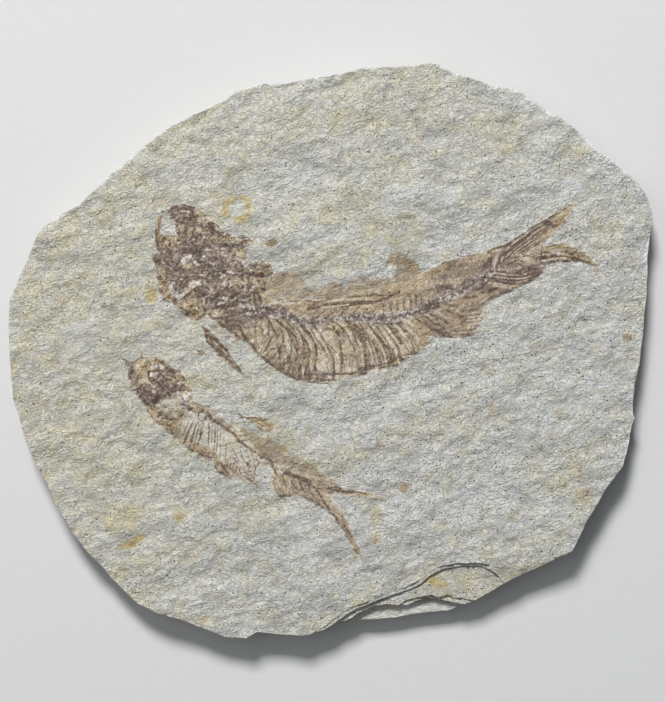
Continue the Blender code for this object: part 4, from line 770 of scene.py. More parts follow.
SMALL_BONES = SMALL_HEAD.strokes([
    (2, 84, 10, 65, 150, 110, 178, 180, 192, 240, 165, 288, 130), (1.5, 82, 10, 286, 75, 286, 150),
    (2, 72, 15, 60, 152, 110, 230, 132, 300, 150, 380), (1.5, 72, 60, 390, 85, 440, 110, 475, 132),
    (1.5, 66, 60, 300, 150, 400, 140, 500, 150, 600, 182), (1.5, 72, 30, 500, 190, 560, 230, 622, 290),
    (1.2, 60, 80, 716, 90, 720, 150), (2, 92, 10, 362, 300, 440, 302, 500, 288, 542, 318),
    (2.5, 94, 10, 362, 300, 380, 385, 405, 432), (2, 88, 10, 405, 410, 470, 385, 500, 330),
    (1.5, 88, 10, 470, 215, 480, 255, 500, 290), (1.5, 80, 15, 380, 240, 420, 225, 470, 215),
    (1.5, 76, 20, 560, 400, 640, 480, 725, 522), (1.5, 74, 30, 640, 350, 700, 400, 760, 450),
    (1.5, 74, 30, 690, 300, 760, 362, 790, 400), (1.5, 74, 50, 820, 400, 862, 430, 868, 500, 850, 562),
    (1.5, 76, 20, 450, 420, 540, 470, 620, 500), (1.5, 82, 10, 260, 500, 330, 540, 400, 600, 440, 670),
    (1.5, 80, 10, 180, 540, 240, 560, 280, 590), (2, 80, 15, 270, 600, 330, 650, 390, 700),
    (1.5, 14, 20, 300, 470, 370, 460, 440, 480), (1.5, 12, 20, 590, 440, 640, 470),
    (1.5, 14, 20, 620, 550, 700, 560), (1.5, 76, 30, 600, 610, 690, 610),
    (1.2, 66, 60, 560, 700, 630, 740, 700, 700), (1.2, 60, 70, 600, 770, 680, 760, 720, 740),
    (2.2, 88, 40, 535, 838, 620, 857, 700, 838, 765, 788), (1.2, 70, 40, 430, 740, 500, 790, 530, 840),
    (1, 62, 85, 765, 800, 710, 870), (1, 62, 85, 790, 810, 740, 890), (1, 62, 85, 740, 800, 690, 860),
    (1.5, 82, 10, 745, 580, 760, 610), (1.8, 92, 0, 760, 715, 775, 735),
    (1.8, 92, 0, 820, 730, 850, 742, 870, 715), (1.5, 88, 0, 800, 660, 825, 650),
    (1.5, 86, 0, 730, 690, 760, 680, 790, 700),
    (1.5, 84, 10, 940, 780, 935, 840, 970, 865, 1020, 850, 1025, 790, 980, 765, 940, 780),
    (1.5, 76, 40, 400, 870, 500, 960, 580, 1020, 632, 1092), (2, 80, 40, 560, 880, 620, 960, 660, 1050),
    (1.5, 74, 50, 830, 750, 900, 765, 1000, 745),
    (4, 72, 35, 1040, 772, 1090, 850, 1180, 900, 1270, 962, 1380, 1052),
    (1.2, 62, 85, 880, 645, 960, 615, 1065, 572), (1.2, 60, 90, 900, 662, 980, 640, 1090, 595),
    (1.2, 56, 90, 905, 600, 980, 570, 1050, 540),
    (1.2, 56, 90, 1050, 702, 1150, 702, 1250, 722, 1360, 745),
    (1.2, 60, 85, 1060, 742, 1180, 765, 1290, 795), (1.2, 60, 85, 1340, 790, 1420, 820),
    (1.6, 78, 45, 880, 870, 850, 960, 782, 1090), (1.6, 78, 45, 940, 880, 890, 980, 850, 1085),
    (1.4, 74, 40, 1000, 890, 962, 1000, 950, 1090), (1.4, 70, 40, 1050, 900, 1062, 1000, 1050, 1090),
    (1.2, 66, 40, 830, 880, 790, 960, 745, 1040),
]) + SMALL_BODY.strokes([
    (1.4, 70, 50, 30, 280, 12, 350, 5, 420), (2, 84, 45, 130, 300, 100, 380, 72, 450, 50, 505),
    (2, 84, 45, 175, 300, 160, 380, 132, 470, 105, 545),
    (1.6, 80, 45, 212, 310, 190, 400, 170, 480, 150, 565), (1.6, 78, 45, 245, 370, 215, 450, 190, 525),
    (1.5, 74, 40, 315, 330, 310, 420, 305, 525), (1.8, 80, 40, 375, 330, 376, 440, 362, 560, 355, 625),
    (1.3, 72, 40, 402, 330, 400, 440, 390, 560, 380, 610), (1.1, 66, 40, 340, 330, 342, 430, 335, 520),
    (1.1, 64, 40, 430, 400, 432, 540, 425, 650), (1.1, 66, 40, 490, 505, 486, 650, 470, 745),
    (1.4, 72, 40, 515, 655, 560, 645, 592, 690, 612, 722), (1.1, 70, 40, 505, 690, 492, 752),
    (1.3, 72, 40, 542, 700, 530, 762, 550, 780), (1.3, 72, 40, 572, 700, 560, 782),
    (1.3, 74, 40, 602, 740, 580, 805), (1, 70, 40, 640, 590, 665, 650, 690, 702),
    (1, 70, 40, 700, 580, 722, 640, 742, 692), (1, 70, 40, 745, 580, 772, 650, 782, 702),
    (1, 66, 40, 560, 560, 590, 620, 620, 690), (1, 66, 40, 460, 420, 462, 500),
    (2.2, 84, 35, 48, 502, 100, 552, 180, 592, 260, 632, 345, 652), (1.5, 84, 30, 90, 560, 140, 590),
    (2, 80, 45, 360, 680, 382, 760, 425, 805), (2, 84, 40, 440, 800, 505, 842),
    (1.5, 70, 40, 420, 700, 470, 760, 530, 850), (5, 70, 35, 300, 170, 340, 250, 420, 300, 500, 362),
    (4, 76, 32, 500, 362, 580, 412, 622, 470, 682, 522),
    (3, 74, 30, 682, 522, 742, 560, 800, 592, 862, 652), (2, 84, 30, 540, 385, 590, 405),
    (1.2, 70, 40, 620, 420, 680, 410), (1.2, 66, 40, 660, 470, 720, 470),
    (1.2, 64, 50, 500, 330, 560, 320), (1.8, 88, 25, 860, 652, 930, 642, 1005, 628),
    (2.5, 86, 25, 905, 650, 962, 682, 1032, 712), (1.5, 78, 30, 1000, 670, 1050, 720, 1110, 715),
    (2, 76, 35, 960, 700, 990, 780, 1012, 832), (1.2, 62, 70, 830, 560, 900, 520, 960, 480),
    (1.2, 62, 70, 980, 480, 1060, 490, 1100, 530), (1.2, 60, 70, 860, 590, 920, 570),
    (3, 80, 25, 735, 880, 760, 895), (2.5, 80, 25, 790, 925, 820, 945),
    (2, 74, 30, 640, 830, 700, 850, 740, 880), (2, 72, 30, 700, 700, 720, 740),
    (5, 82, 12, 1115, 785, 1180, 830, 1262, 862, 1361, 902),
    (1.5, 56, 70, 1130, 622, 1250, 640, 1361, 662), (2, 56, 85, 1072, 502, 1150, 562, 1192, 592),
    (2, 76, 40, 985, 930, 1030, 1030, 1062, 1052), (1.2, 74, 20, 1080, 820, 1090, 880, 1120, 960),
    (1.2, 70, 30, 1160, 870, 1190, 980), (1.2, 70, 30, 1240, 880, 1270, 990),
    (1, 74, 30, 650, 640, 680, 680, 660, 720, 690, 760),
    (1, 74, 30, 710, 700, 740, 740, 720, 780, 760, 800),
    (1, 76, 30, 770, 720, 800, 760, 780, 800, 810, 840), (1, 76, 30, 680, 780, 700, 820, 740, 830),
    (1, 76, 30, 750, 830, 780, 860, 770, 900), (1, 72, 30, 620, 760, 640, 810),
    (1, 74, 30, 800, 660, 830, 700, 820, 740),
]) + SMALL_TAIL.strokes([
    (3, 84, 12, 0, 230, 60, 250, 130, 275, 210, 310, 290, 360),
    (2, 80, 15, 290, 360, 340, 420, 380, 490, 430, 570),
    (2.5, 90, 12, 340, 380, 420, 378, 500, 365, 560, 375),
    (3, 84, 30, 440, 370, 520, 400, 600, 412, 680, 415),
    (2, 80, 35, 500, 335, 560, 345, 640, 375, 720, 405, 800, 420),
    (1.5, 74, 50, 680, 415, 780, 420, 860, 432, 950, 440, 1010, 465),
    (1.5, 72, 30, 400, 265, 450, 300, 500, 335), (2, 76, 30, 200, 470, 280, 500, 350, 545, 420, 610),
    (2.5, 86, 25, 380, 500, 440, 580, 500, 660, 550, 740),
    (2.5, 84, 25, 410, 600, 470, 680, 530, 730, 580, 790),
    (2, 80, 30, 560, 750, 610, 830, 650, 900, 690, 980), (1.8, 78, 35, 590, 740, 640, 830, 680, 890),
    (1.5, 74, 45, 690, 980, 720, 1010, 755, 1040), (1.2, 10, 50, 430, 430, 500, 510, 570, 590),
    (1.2, 66, 60, 450, 430, 520, 510, 580, 580), (1.2, 10, 50, 470, 430, 540, 510, 600, 570),
    (1.2, 64, 60, 500, 450, 570, 520), (1.2, 10, 50, 560, 470, 620, 530),
    (1.2, 62, 50, 600, 470, 650, 510), (1.5, 76, 30, 640, 470, 720, 490),
    (1.5, 70, 60, 220, 155, 280, 165, 330, 200, 380, 230), (1.2, 12, 60, 200, 190, 260, 200, 330, 230),
    (1.2, 74, 20, 60, 300, 120, 380), (1.2, 74, 20, 150, 320, 200, 420),
    (1.2, 74, 20, 230, 340, 260, 420, 300, 480), (1.5, 74, 30, 330, 300, 400, 330),
    (1.2, 14, 30, 380, 320, 450, 330), (1.5, 12, 50, 460, 600, 520, 640, 560, 680),
])
SMALL_FLECKS = SMALL_HEAD.strokes([
    (2.5, 70, 400, 250, 450, 235), (2, 60, 500, 240, 530, 260), (2, 60, 400, 340, 450, 350),
    (2.5, 50, 175, 490, 205, 480), (2.5, 80, 700, 545, 760, 560, 780, 590), (2, 80, 740, 600, 750, 640),
    (2.5, 80, 815, 570, 800, 620), (2, 70, 780, 650, 850, 690), (1.5, 70, 740, 720, 790, 690),
    (1.5, 60, 860, 770, 890, 790), (2, 60, 960, 800, 1000, 820), (1.5, 70, 610, 445, 635, 470),
    (1.5, 50, 350, 150, 420, 160), (1.5, 60, 830, 550, 850, 560), (1.5, 60, 440, 690, 520, 710),
], 2) + SMALL_BODY.strokes([
    (1.8, 70, 1040, 745, 1060, 800, 1110, 770), (1.5, 60, 1300, 790, 1361, 800),
    (1.5, 50, 650, 820, 690, 820), (1.2, 60, 220, 480, 240, 510), (1.5, 50, 360, 650, 350, 670),
], 2)
DORSAL_BONES = FINS.strokes([
    (1.8, 84, 40, 340, 835, 400, 870, 440, 895, 500, 925, 540, 935),
    (1.8, 80, 40, 370, 888, 440, 888, 500, 888, 570, 890, 620, 905),
    (1.2, 66, 80, 540, 935, 600, 970, 660, 1000), (1.2, 64, 90, 560, 900, 620, 940, 670, 970),
    (1.2, 66, 90, 520, 940, 570, 990, 600, 1010), (1.2, 20, 90, 560, 960, 620, 985, 660, 990),
    (1.2, 18, 90, 550, 925, 610, 955),
])


# ---- The rock's surface

def bedding(x, y):
    """Height of the bedding face's long swells, as in the solid slab."""
    swell = 0.14 * np.sin(0.155 * x + 0.06 * y + 0.6)
    roll = 0.10 * np.sin(0.22 * y - 0.07 * x + 1.9)
    ripple = 0.06 * np.sin(0.31 * x + 0.40 * y)
    return BEDDING + swell + roll + ripple


def crumbly(x, y):
    """Lumps and creases of a split rock face, around zero."""
    relief = layered(x, y, SOFT_LUMPS)
    for height, *patch in CREASED_LUMPS:
        relief += height * (np.abs(streaks(x, y, *patch)) * 2.0 - 0.9)
    return relief


def section(node, height):
    """The outline of a CAD node where a level plane cuts it: its longest closed loop.

    It starts at its leftmost point and runs anticlockwise, so that it is the same at every run.
    """
    bm = bmesh.new()
    bm.from_mesh(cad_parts[node].data)
    bmesh.ops.remove_doubles(bm, verts=bm.verts, dist=1e-6)
    bmesh.ops.bisect_plane(bm, geom=bm.verts[:] + bm.edges[:] + bm.faces[:], dist=1e-7,
                           plane_co=(0.0, 0.0, height * MM), plane_no=(0.0, 0.0, 1.0),
                           clear_inner=True, clear_outer=True)
    bmesh.ops.remove_doubles(bm, verts=bm.verts, dist=1e-5)
    left = set(bm.verts)
    loops = []
    while left:
        vert = left.pop()
        loop = [vert]
        while vert is not None:
            beside = [edge.other_vert(vert) for edge in vert.link_edges]
            vert = next((other for other in beside if other in left), None)
            if vert is not None:
                left.discard(vert)
                loop.append(vert)
        loops.append([(v.co.x / MM, v.co.y / MM) for v in loop])
    bm.free()

    def girth(loop):
        return sum(math.dist(a, b) for a, b in zip(loop, loop[1:]))
    loop = max(loops, key=girth)
    start = loop.index(min(loop))
    loop = loop[start:] + loop[:start]
    return loop if doubled_area(loop) > 0.0 else loop[:1] + loop[:0:-1]


# ---- Mesh tools

def add_object(name, data):
    """An object for a mesh, a curve, a lamp or a camera, in the scene."""
    thing = bpy.data.objects.new(name, data)
    bpy.context.scene.collection.objects.link(thing)
    return thing


def from_bmesh(name, bm):
    """An object made from a bmesh, with its faces pointing out."""
    bmesh.ops.recalc_face_normals(bm, faces=bm.faces)
    mesh = bpy.data.meshes.new(name)
    bm.to_mesh(mesh)
    bm.free()
    return add_object(name, mesh)


def relief_block(name, corner, size, cell, surface, far):
    """A closed block with a fine grid on the side that follows a surface, and a flat side at a height."""
    bm = bmesh.new()
    place = (Matrix.Translation(((corner[0] + size[0] / 2.0) * MM, (corner[1] + size[1] / 2.0) * MM, 0.0))
             @ Matrix.Diagonal((size[0] * MM, size[1] * MM, 1.0, 1.0)))
    bmesh.ops.create_grid(bm, x_segments=math.ceil(size[0] / cell), y_segments=math.ceil(size[1] / cell),
                          size=0.5, matrix=place)
    spots = np.array([vert.co[:2] for vert in bm.verts]) / MM
    for vert, height in zip(bm.verts, surface(spots[:, 0], spots[:, 1])):
        vert.co.z = height * MM
    border = [edge for edge in bm.edges if edge.is_boundary]
    for part in bmesh.ops.extrude_edge_only(bm, edges=border)["geom"]:
        if isinstance(part, bmesh.types.BMVert):
            part.co.z = far * MM
    bmesh.ops.holes_fill(bm, edges=[edge for edge in bm.edges if edge.is_boundary])
    return from_bmesh(name, bm)


def walled_solid(name, ring, heights, inset):
    """A closed solid whose wall passes a ring of points at several heights.

    inset gives how far each point stands inside the ring at a height.
    """
    turns = np.roll(ring, -3, axis=0) - np.roll(ring, 3, axis=0)
    turns /= np.maximum(np.hypot(turns[:, 0], turns[:, 1]), 1e-9)[:, None]
    inward = np.column_stack((-turns[:, 1], turns[:, 0])) * np.sign(doubled_area(ring))
    bm = bmesh.new()
    verts = [bm.verts.new() for _ in ring]
    edges = [bm.edges.new(pair) for pair in zip(verts, verts[1:] + verts[:1])]
    for height in heights:
        if height != heights[0]:
            raised = bmesh.ops.extrude_edge_only(bm, edges=edges)["geom"]
            new = {part for part in raised if isinstance(part, bmesh.types.BMVert)}
            verts = [next(e.other_vert(v) for e in v.link_edges if e.other_vert(v) in new) for v in verts]
            edges = [part for part in raised if isinstance(part, bmesh.types.BMEdge)
                     and part.verts[0] in new and part.verts[1] in new]
        for vert, (x, y) in zip(verts, ring + inward * inset(height)[:, None]):
            vert.co = (x * MM, y * MM, height * MM)
    bmesh.ops.holes_fill(bm, edges=[edge for edge in bm.edges if edge.is_boundary])
    return from_bmesh(name, bm)


def combine(target, tool, operation):
    """A Boolean of a closed solid with another, which is then removed."""
    boolean = target.modifiers.new(operation.lower(), "BOOLEAN")
    boolean.operation = operation
    boolean.object = tool
    boolean.solver = "MANIFOLD"
    settle(target)
    bpy.data.objects.remove(tool)


def evaluated(thing):
    """A new mesh of an object as it looks, with its modifiers or its bevel."""
    depsgraph = bpy.context.evaluated_depsgraph_get()
    return bpy.data.meshes.new_from_object(thing.evaluated_get(depsgraph))


def settle(thing):
    """Applies an object's modifiers to its mesh."""
    mesh = evaluated(thing)
    thing.modifiers.clear()
    old = thing.data
    thing.data = mesh
    bpy.data.meshes.remove(old)
    if not mesh.polygons:
        raise RuntimeError(f"{thing.name} has no faces left")


def spots_of(mesh):
    """The X, Y and Z of a mesh's vertices, in millimetres."""
    spots = np.empty(len(mesh.vertices) * 3, dtype=np.float32)
    mesh.vertices.foreach_get("co", spots)
    spots = spots.reshape(-1, 3).astype(float) / MM
    return spots[:, 0], spots[:, 1], spots[:, 2]


def store(mesh, name, values):
    """A named value at each vertex, for the materials to read."""
    layer = mesh.attributes.new(name, "FLOAT", "POINT")
    layer.data.foreach_set("value", np.ascontiguousarray(np.clip(values, 0.0, 1.0), dtype=np.float32))


def finish_piece(piece, name, node, material):
    """Names a piece, gives it its material, and puts it in its node's place."""
    piece.name = name
    piece.data.name = name
    piece.data.materials.clear()
    piece.data.materials.append(material)
    piece.data.shade_smooth()
    piece.data.set_sharp_from_angle(angle=math.radians(SHARP_ANGLE))
    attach(piece, "root")
    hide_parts(node)


# ---- The slab

def rim_inset(ring, seed, scale=1.0):
    """How far the broken rim stands inside its outline at a height: laminae, flake scars and grain."""
    count = len(ring)
    girth = np.sum(np.hypot(*(np.roll(ring, -1, axis=0) - ring).T))
    way = np.linspace(0.0, girth, count, endpoint=False)
    laminae = np.cumsum(np.random.default_rng(seed).uniform(0.5, 1.3, 30))
    steps = np.random.default_rng(seed + 1).uniform(0.0, 1.0, 31)

    def inset(height):
        layer = int(np.searchsorted(laminae, height))
        lean = np.interp(height, [p[0] for p in RIM_PROFILE], [p[1] for p in RIM_PROFILE])
        shift = patchy(way / 7.0, np.full(count, layer * 3.7), seed)
        terrace = 0.12 * steps[layer] + 0.16 * ramp(shift, 0.0, 1.0)
        near_top = ramp(np.full(count, height), 5.0, BEDDING)
        scars = ramp(patchy(way / 5.5, np.full(count, 0.4 * height), seed + 2), 0.15, 0.9)
        scars *= 0.32 * near_top
        grain = 0.07 * (1.0 + patchy(way / 1.3, np.full(count, height * 1.6), seed + 3))
        return lean * scale + (terrace * (0.4 + 0.6 * scale) + scars + grain)
    return inset


def slab_top(x, y, recess):
    """Height of the slab's split face: lumps, a chipped corner, and shallow recesses for the bone."""
    height = bedding(x, y) + crumbly(x, y)
    height -= CHIP_DEPTH * ramp(in_blot(x, y, CHIP, 0.2), 0.3, 0.6)
    for outline in BONE_BEDS.values():
        height -= recess * ramp(depth_inside(x, y, outline), 0.15, 0.9)
    return height


# Layers of random patches in the rock's colours. The first two shift the borders of the stains.
STAIN_SHIFT_X = ((0.5, 2.2, 1.6, LEAN, 61), (0.2, 0.8, 0.6, LEAN, 62))
STAIN_SHIFT_Y = ((0.5, 2.2, 1.6, LEAN, 63), (0.2, 0.8, 0.6, LEAN, 64))
BROAD_PATCHES = (16.0, 9.0, 12.0, 65)


def paint_rock(mesh, outline=None):
    """Stores where the rock is cream, bleached, stained and speckled, and where light is painted: a painted
    highlight on the rim's upper side and painted light on the low shelf.
    """
    x, y, z = spots_of(mesh)
    wx = x + layered(x, y, STAIN_SHIFT_X)
    wy = y + layered(x, y, STAIN_SHIFT_Y)
    broad = streaks(x, y, *BROAD_PATCHES)
    cream = ramp(-x + 14.0 * broad + 0.25 * y, -10.0, 70.0) * 0.75
    cream = np.maximum(cream, ramp(broad + 0.5 * streaks(x, y, 6.0, 3.5, LEAN, 66), 0.25, 1.0) * 0.8)
    cream = np.maximum(cream, in_blots(wx, wy, CREAM_PATCHES))
    chalk = in_blots(wx, wy, CHALK_PATCHES, 0.6)
    chalk = np.maximum(chalk, 0.6 * ramp(streaks(x, y, 9.0, 6.0, 30.0, 67), 0.45, 0.95))
    ochre = OCHRE_STRENGTH * in_blots(wx, wy, OCHRE_STAINS, 0.5)
    broken = 0.5 + 0.5 * ramp(streaks(x, y, 2.4, 1.8, LEAN, 60), -0.5, 0.2)
    ochre = np.maximum(ochre, OCHRE_RING[4] * broken * on_ring(wx, wy, OCHRE_RING))
    ochre = np.maximum(ochre, 0.5 * ramp(streaks(x, y, 5.0, 3.0, LEAN, 68), 0.62, 1.0))
    umber = UMBER_STRENGTH * in_blots(wx, wy, UMBER_STAINS, 0.45)
    film = np.zeros(x.shape)
    for border, strength in FILMS:
        edge = depth_inside(wx, wy, border) + 0.35 * streaks(x, y, 1.2, 0.9, 40.0, 69)
        uneven = strength + 0.20 * streaks(x, y, 1.1, 0.8, 20.0, 70)
        film = np.maximum(film, uneven * ramp(edge, -0.3, 0.5))
    film *= 1.0 - in_blot(wx, wy, BARE_SPOT, 0.4)
    specks = 0.46 + 0.42 * ramp(x - 0.4 * y, -30.0, 70.0) + 0.35 * broad
    specks = np.maximum(specks, in_blots(x, y, SPECKLED, 0.6))
    # Painted highlight: the rim's upper side, towards the lamp and near the face, is painted near white.
    painted_light = np.zeros(x.shape)
    if outline is not None:
        band = 1.0 + 0.5 * streaks(x, y, 6.0, 6.0, 0.0, 58)
        painted_light = 1.0 - ramp(depth_inside(x, y, outline) / band, 0.55, 1.0)
        painted_light *= ramp(y + 0.3 * x + 14.0 * streaks(x, y, 9.0, 9.0, 0.0, 59), -20.0, 5.0)
        painted_light *= 0.7 * ramp(z + 0.5 * streaks(x, y, 3.0, 3.0, 0.0, 57), 6.8, 8.2)
    # Painted light: the shaded low shelf is partly painted near white.
    painted_light = np.maximum(painted_light, 0.35 * in_blot(x, y, LOW_SHELF, 0.2))
    for name, values in (("painted_light", painted_light), ("cream", cream * (1.0 - painted_light)), ("chalk", chalk),
                         ("ochre stain", ochre), ("umber stain", umber), ("film stain", film),
                         ("speckled", specks)):
        store(mesh, name, values)


def on_ring(x, y, ring):
    """1 on a ring given by its middle, its radius and its width."""
    cx, cy, radius, width = ring[:4]
    return 1.0 - ramp(np.abs(np.hypot(x - cx, y - cy) - radius), width * 0.2, width)


# ---- The bone

# Layers of random patches in the bone. The first three make its edge ragged and shift its patches.
RAGGED_EDGE = ((0.34, 0.9, 0.6, 10.0, 71), (0.26, 0.4, 0.35, 0.0, 72))
FILM_SHIFT_X = ((0.26, 1.1, 0.9, 0.0, 73), (0.12, 0.45, 0.4, 30.0, 76))
FILM_SHIFT_Y = ((0.26, 1.1, 0.9, 0.0, 74), (0.12, 0.45, 0.4, 30.0, 77))
THIN_FILM = ((0.6, 0.9, 0.7, 30.0, 85), (0.4, 0.4, 0.3, 0.0, 86))
WEAR = ((1.0, 0.8, 0.55, 50.0, 78), (0.5, 0.3, 0.3, 0.0, 79))
ROUGH_BONE = ((0.10, 0.7, 0.3, 35.0, 75),)
CRACKLED_SKIN = ((0.05, 0.9, 0.6, 20.0, 81), (0.03, 0.45, 0.35, -20.0, 82))
SMOOTH_FILM = ((0.03, 0.9, 0.4, 35.0, 83), (0.02, 0.45, 0.3, 0.0, 84))

DARK = 50                   # tone in percent above which a stroke is bone, and below which it is a pale gap
RAISED = 60                 # tone in percent above which a stroke stands out of its bed as a bone
STROKE_SPREAD = 0.8         # how wide a stroke's bone is painted, as a share of its width
FLECK_SPREAD = 0.83         # the same for a fleck
TRUE_SHIFT = 0.35           # share of the film's shift that its strokes follow


class Film:
    """The colours of a bed of bone at its points.

    share is how much bone lies on the rock, tone how dark it is, hue how yellow (0 violet, 1 ochre), and
    fleck how much bare crystal shows.
    """

    def __init__(self, x, y, outline):
        self.x = x + layered(x, y, FILM_SHIFT_X)
        self.y = y + layered(x, y, FILM_SHIFT_Y)
        self.true = (x + (self.x - x) * TRUE_SHIFT, y + (self.y - y) * TRUE_SHIFT)
        self.edge = ramp(depth_inside(x, y, outline) + layered(x, y, RAGGED_EDGE), -0.2, 0.45)
        self.thin = layered(x, y, THIN_FILM)
        self.worn = 0.45 + 0.55 * ramp(layered(x, y, WEAR), -0.7, 0.5)
        self.share = np.ones(x.shape)
        self.tone = np.full(x.shape, 0.42)
        self.hue = np.full(x.shape, 0.5)
        self.fleck = np.zeros(x.shape)

    def lay(self, mask, tone=None, hue=None, share=None, fleck=None):
        """Lays values over the film where a mask is, as paint over paint."""
        for field, value in (("tone", tone), ("hue", hue), ("share", share), ("fleck", fleck)):
            if value is not None:
                old = getattr(self, field)
                setattr(self, field, old + (value - old) * mask)

    def patches(self, marks, soft=0.5):
        """Ovals of one tone: blots with a tone, a hue and a share in percent."""
        for mark in marks:
            tone, hue, *share = mark[5:]
            mask = in_blot(self.x, self.y, mark, soft)
            self.lay(mask, tone / 100.0, hue / 100.0, share[0] / 100.0 if share else None)

    def bones(self, marks, thick=1.0, soft=0.14):
        """Dark or pale lines, worn in places: strokes with a tone and a hue in percent."""
        for width, tone, hue, line in marks:
            curve = smooth_line(line)
            mask = self.worn * on_lines(*self.true, [curve], STROKE_SPREAD * thick * width, soft)
            dark = tone > DARK
            self.lay(mask, tone / 100.0 + (0.12 if dark else -0.05), hue / 100.0, 1.0 if dark else None)

    def crystals(self, marks):
        """Bare crystals along short lines: strokes with a strength in percent."""
        for width, strength, line in marks:
            curve = smooth_line(line)
            mask = on_lines(self.x, self.y, [curve], FLECK_SPREAD * width, 0.2)
            self.lay(self.worn * mask, fleck=strength / 100.0)

    def fibres(self, mask, layers):
        """Dark and pale fibres where a mask is: strength, random patches, the span that shows, and tone."""
        for strength, patch, span, tone in layers:
            self.lay(mask * strength * ramp(streaks(self.x, self.y, *patch), *span), tone=tone)

    def grain(self, amount, turn, seed=90):
        """Darkens and lightens the film in spots and short streaks, down to its finest grain."""
        x, y = self.x, self.y
        dust = np.random.default_rng(seed).uniform(-1.0, 1.0, x.shape)
        self.tone = self.tone + amount * (0.55 * streaks(x, y, 0.95, 0.5, turn, seed)
                                          + 0.75 * streaks(x, y, 0.45, 0.28, turn, seed + 1)
                                          + 0.40 * dust)

    def store(self, mesh):
        """Stores the fields for the bone's material."""
        cover = self.edge * np.clip(self.share + self.thin * (1.0 - self.share), 0.0, 1.0)
        store(mesh, "cover", cover)
        for name in ("tone", "hue", "fleck"):
            store(mesh, name, getattr(self, name))


def bone_top(x, y, outline, settings, relief):
    """Height of a bed of bone's face: it comes out of the rock at its outline and carries a relief."""
    inside = depth_inside(x, y, outline)
    rock = bedding(x, y) + crumbly(x, y) * (1.0 - 0.45 * ramp(inside, 0.0, 0.8))
    lift = -0.3 + (0.3 + settings.lift / MM) * ramp(inside, -0.6, 0.1)
    return rock + lift + relief(x, y, inside) * ramp(inside, 0.0, 0.5)


def tubes(strands, heights):
    """Thin tapered bones as closed tubes, along their lines at the heights of the face under them.

    A strand is a line, the radius at its start, its radius at its end and its depth in the face, as a
    share of its radius.
    """
    curve = bpy.data.curves.new("bones", "CURVE")
    curve.dimensions = "3D"
    curve.bevel_depth = MM
    curve.bevel_resolution = 1
    curve.use_fill_caps = True
    spots = np.array([spot for strand in strands for spot in strand[0]])
    faces = heights(spots[:, 0], spots[:, 1])
    start = 0
    for line, first, last, sunk in strands:
        spline = curve.splines.new("POLY")
        spline.points.add(len(line) - 1)
        for index, (x, y) in enumerate(line):
            part = index / (len(line) - 1)
            radius = first + (last - first) * part
            buried = 0.35 + 0.45 * math.sin(2.1 * x + 3.3 * y + start)
            height = faces[start + index] - (sunk + max(0.0, buried)) * radius
            spline.points[index].co = (x * MM, y * MM, height * MM, 1.0)
            spline.points[index].radius = radius
        start += len(line)
    holder = add_object("bones", curve)
    mesh = evaluated(holder)
    bpy.data.objects.remove(holder)
    bpy.data.curves.remove(curve)
    bm = bmesh.new()
    bm.from_mesh(mesh)
    bmesh.ops.remove_doubles(bm, verts=bm.verts, dist=1e-7)
    bmesh.ops.recalc_face_normals(bm, faces=bm.faces)
    bm.to_mesh(mesh)
    bm.free()
    return mesh


def grown(outline, by):
    """A closed outline moved outwards by a distance, with its sharp corners held back."""
    points = np.array(outline)
    arriving = points - np.roll(points, 1, axis=0)
    leaving = np.roll(points, -1, axis=0) - points
    arriving /= np.hypot(arriving[:, 0], arriving[:, 1])[:, None]
    leaving /= np.hypot(leaving[:, 0], leaving[:, 1])[:, None]
    outward = np.column_stack((arriving[:, 1] + leaving[:, 1], -arriving[:, 0] - leaving[:, 0]))
    outward *= np.sign(doubled_area(outline))
    reach = np.maximum(np.sum(outward ** 2, axis=1) / 2.0, 0.6)
    return [tuple(p) for p in points + outward * (by / reach)[:, None]]


def bone_bed(node, relief, strands, paint, material):
    """A bed of bone: a fine sheet set in the rock, with its single bones on it."""
    settings = bpy.context.scene.fossil_bone
    outline = BONE_BEDS[node]
    edge = grown(outline, settings.margin / MM)
    low, high = np.min(edge, axis=0) - 0.5, np.max(edge, axis=0) + 0.5

    def face(x, y):
        return bone_top(x, y, outline, settings, relief)
    floor = BEDDING - settings.depth / MM
    sheet = relief_block(node, low, high - low, settings.cell / MM, face, floor - 1.0)
    rim = walled_solid("edge", np.array(edge), (floor, BEDDING + 3.0), lambda height: np.zeros(len(edge)))
    combine(sheet, rim, "INTERSECT")
    sheet_count = len(sheet.data.vertices)
    bm = bmesh.new()
    bm.from_mesh(sheet.data)
    bones = tubes(strands, face)
    bm.from_mesh(bones)
    bm.to_mesh(sheet.data)
    bm.free()
    x, y, _ = spots_of(sheet.data)
    film = Film(x, y, outline)
    paint(film)
    on_bone = np.arange(len(x)) >= sheet_count
    rough = layered(x, y, ROUGH_BONE)
    film.edge = np.where(on_bone, 1.0, film.edge)
    film.share = np.where(on_bone, 1.0, film.share)
    film.tone = np.where(on_bone, 0.45 * film.tone + 0.34 + rough, film.tone)
    film.fleck = np.where(on_bone, 0.0, film.fleck)
    film.store(sheet.data)
    paint_rock(sheet.data)
    finish_piece(sheet, f"{node}_bone", node, material)


# ---- The bones of each bed

def backbone(line, count, radius):
    """Vertebrae along a backbone: short thick tubes with gaps between them."""
    strands = []
    for index in range(count):
        start, end = along(line, index / count), along(line, (index + 0.72) / count)
        middle = (start + end) / 2.0
        size = radius * (1.0 + 0.18 * math.sin(3.1 * index)) * (1.0 - 0.35 * index / count)
        strands.append(([tuple(start), tuple(middle)], size, 0.72 * size, 0.35))
        strands.append(([tuple(middle), tuple(end)], 0.72 * size, size, 0.35))
    return strands


def raised_bones(marks, spine=None, thick=1.0):
    """The bones that stand out of a bed: its dark strokes, and the vertebrae of its backbone."""
    lines = []
    for width, tone, _, line in marks:
        if tone > RAISED:
            radius = thick * (0.05 + 0.22 * width)
            lines.append((smooth_line(line), radius, 0.55 * radius, 0.2))
    if spine:
        lines += backbone(*spine)
    return lines


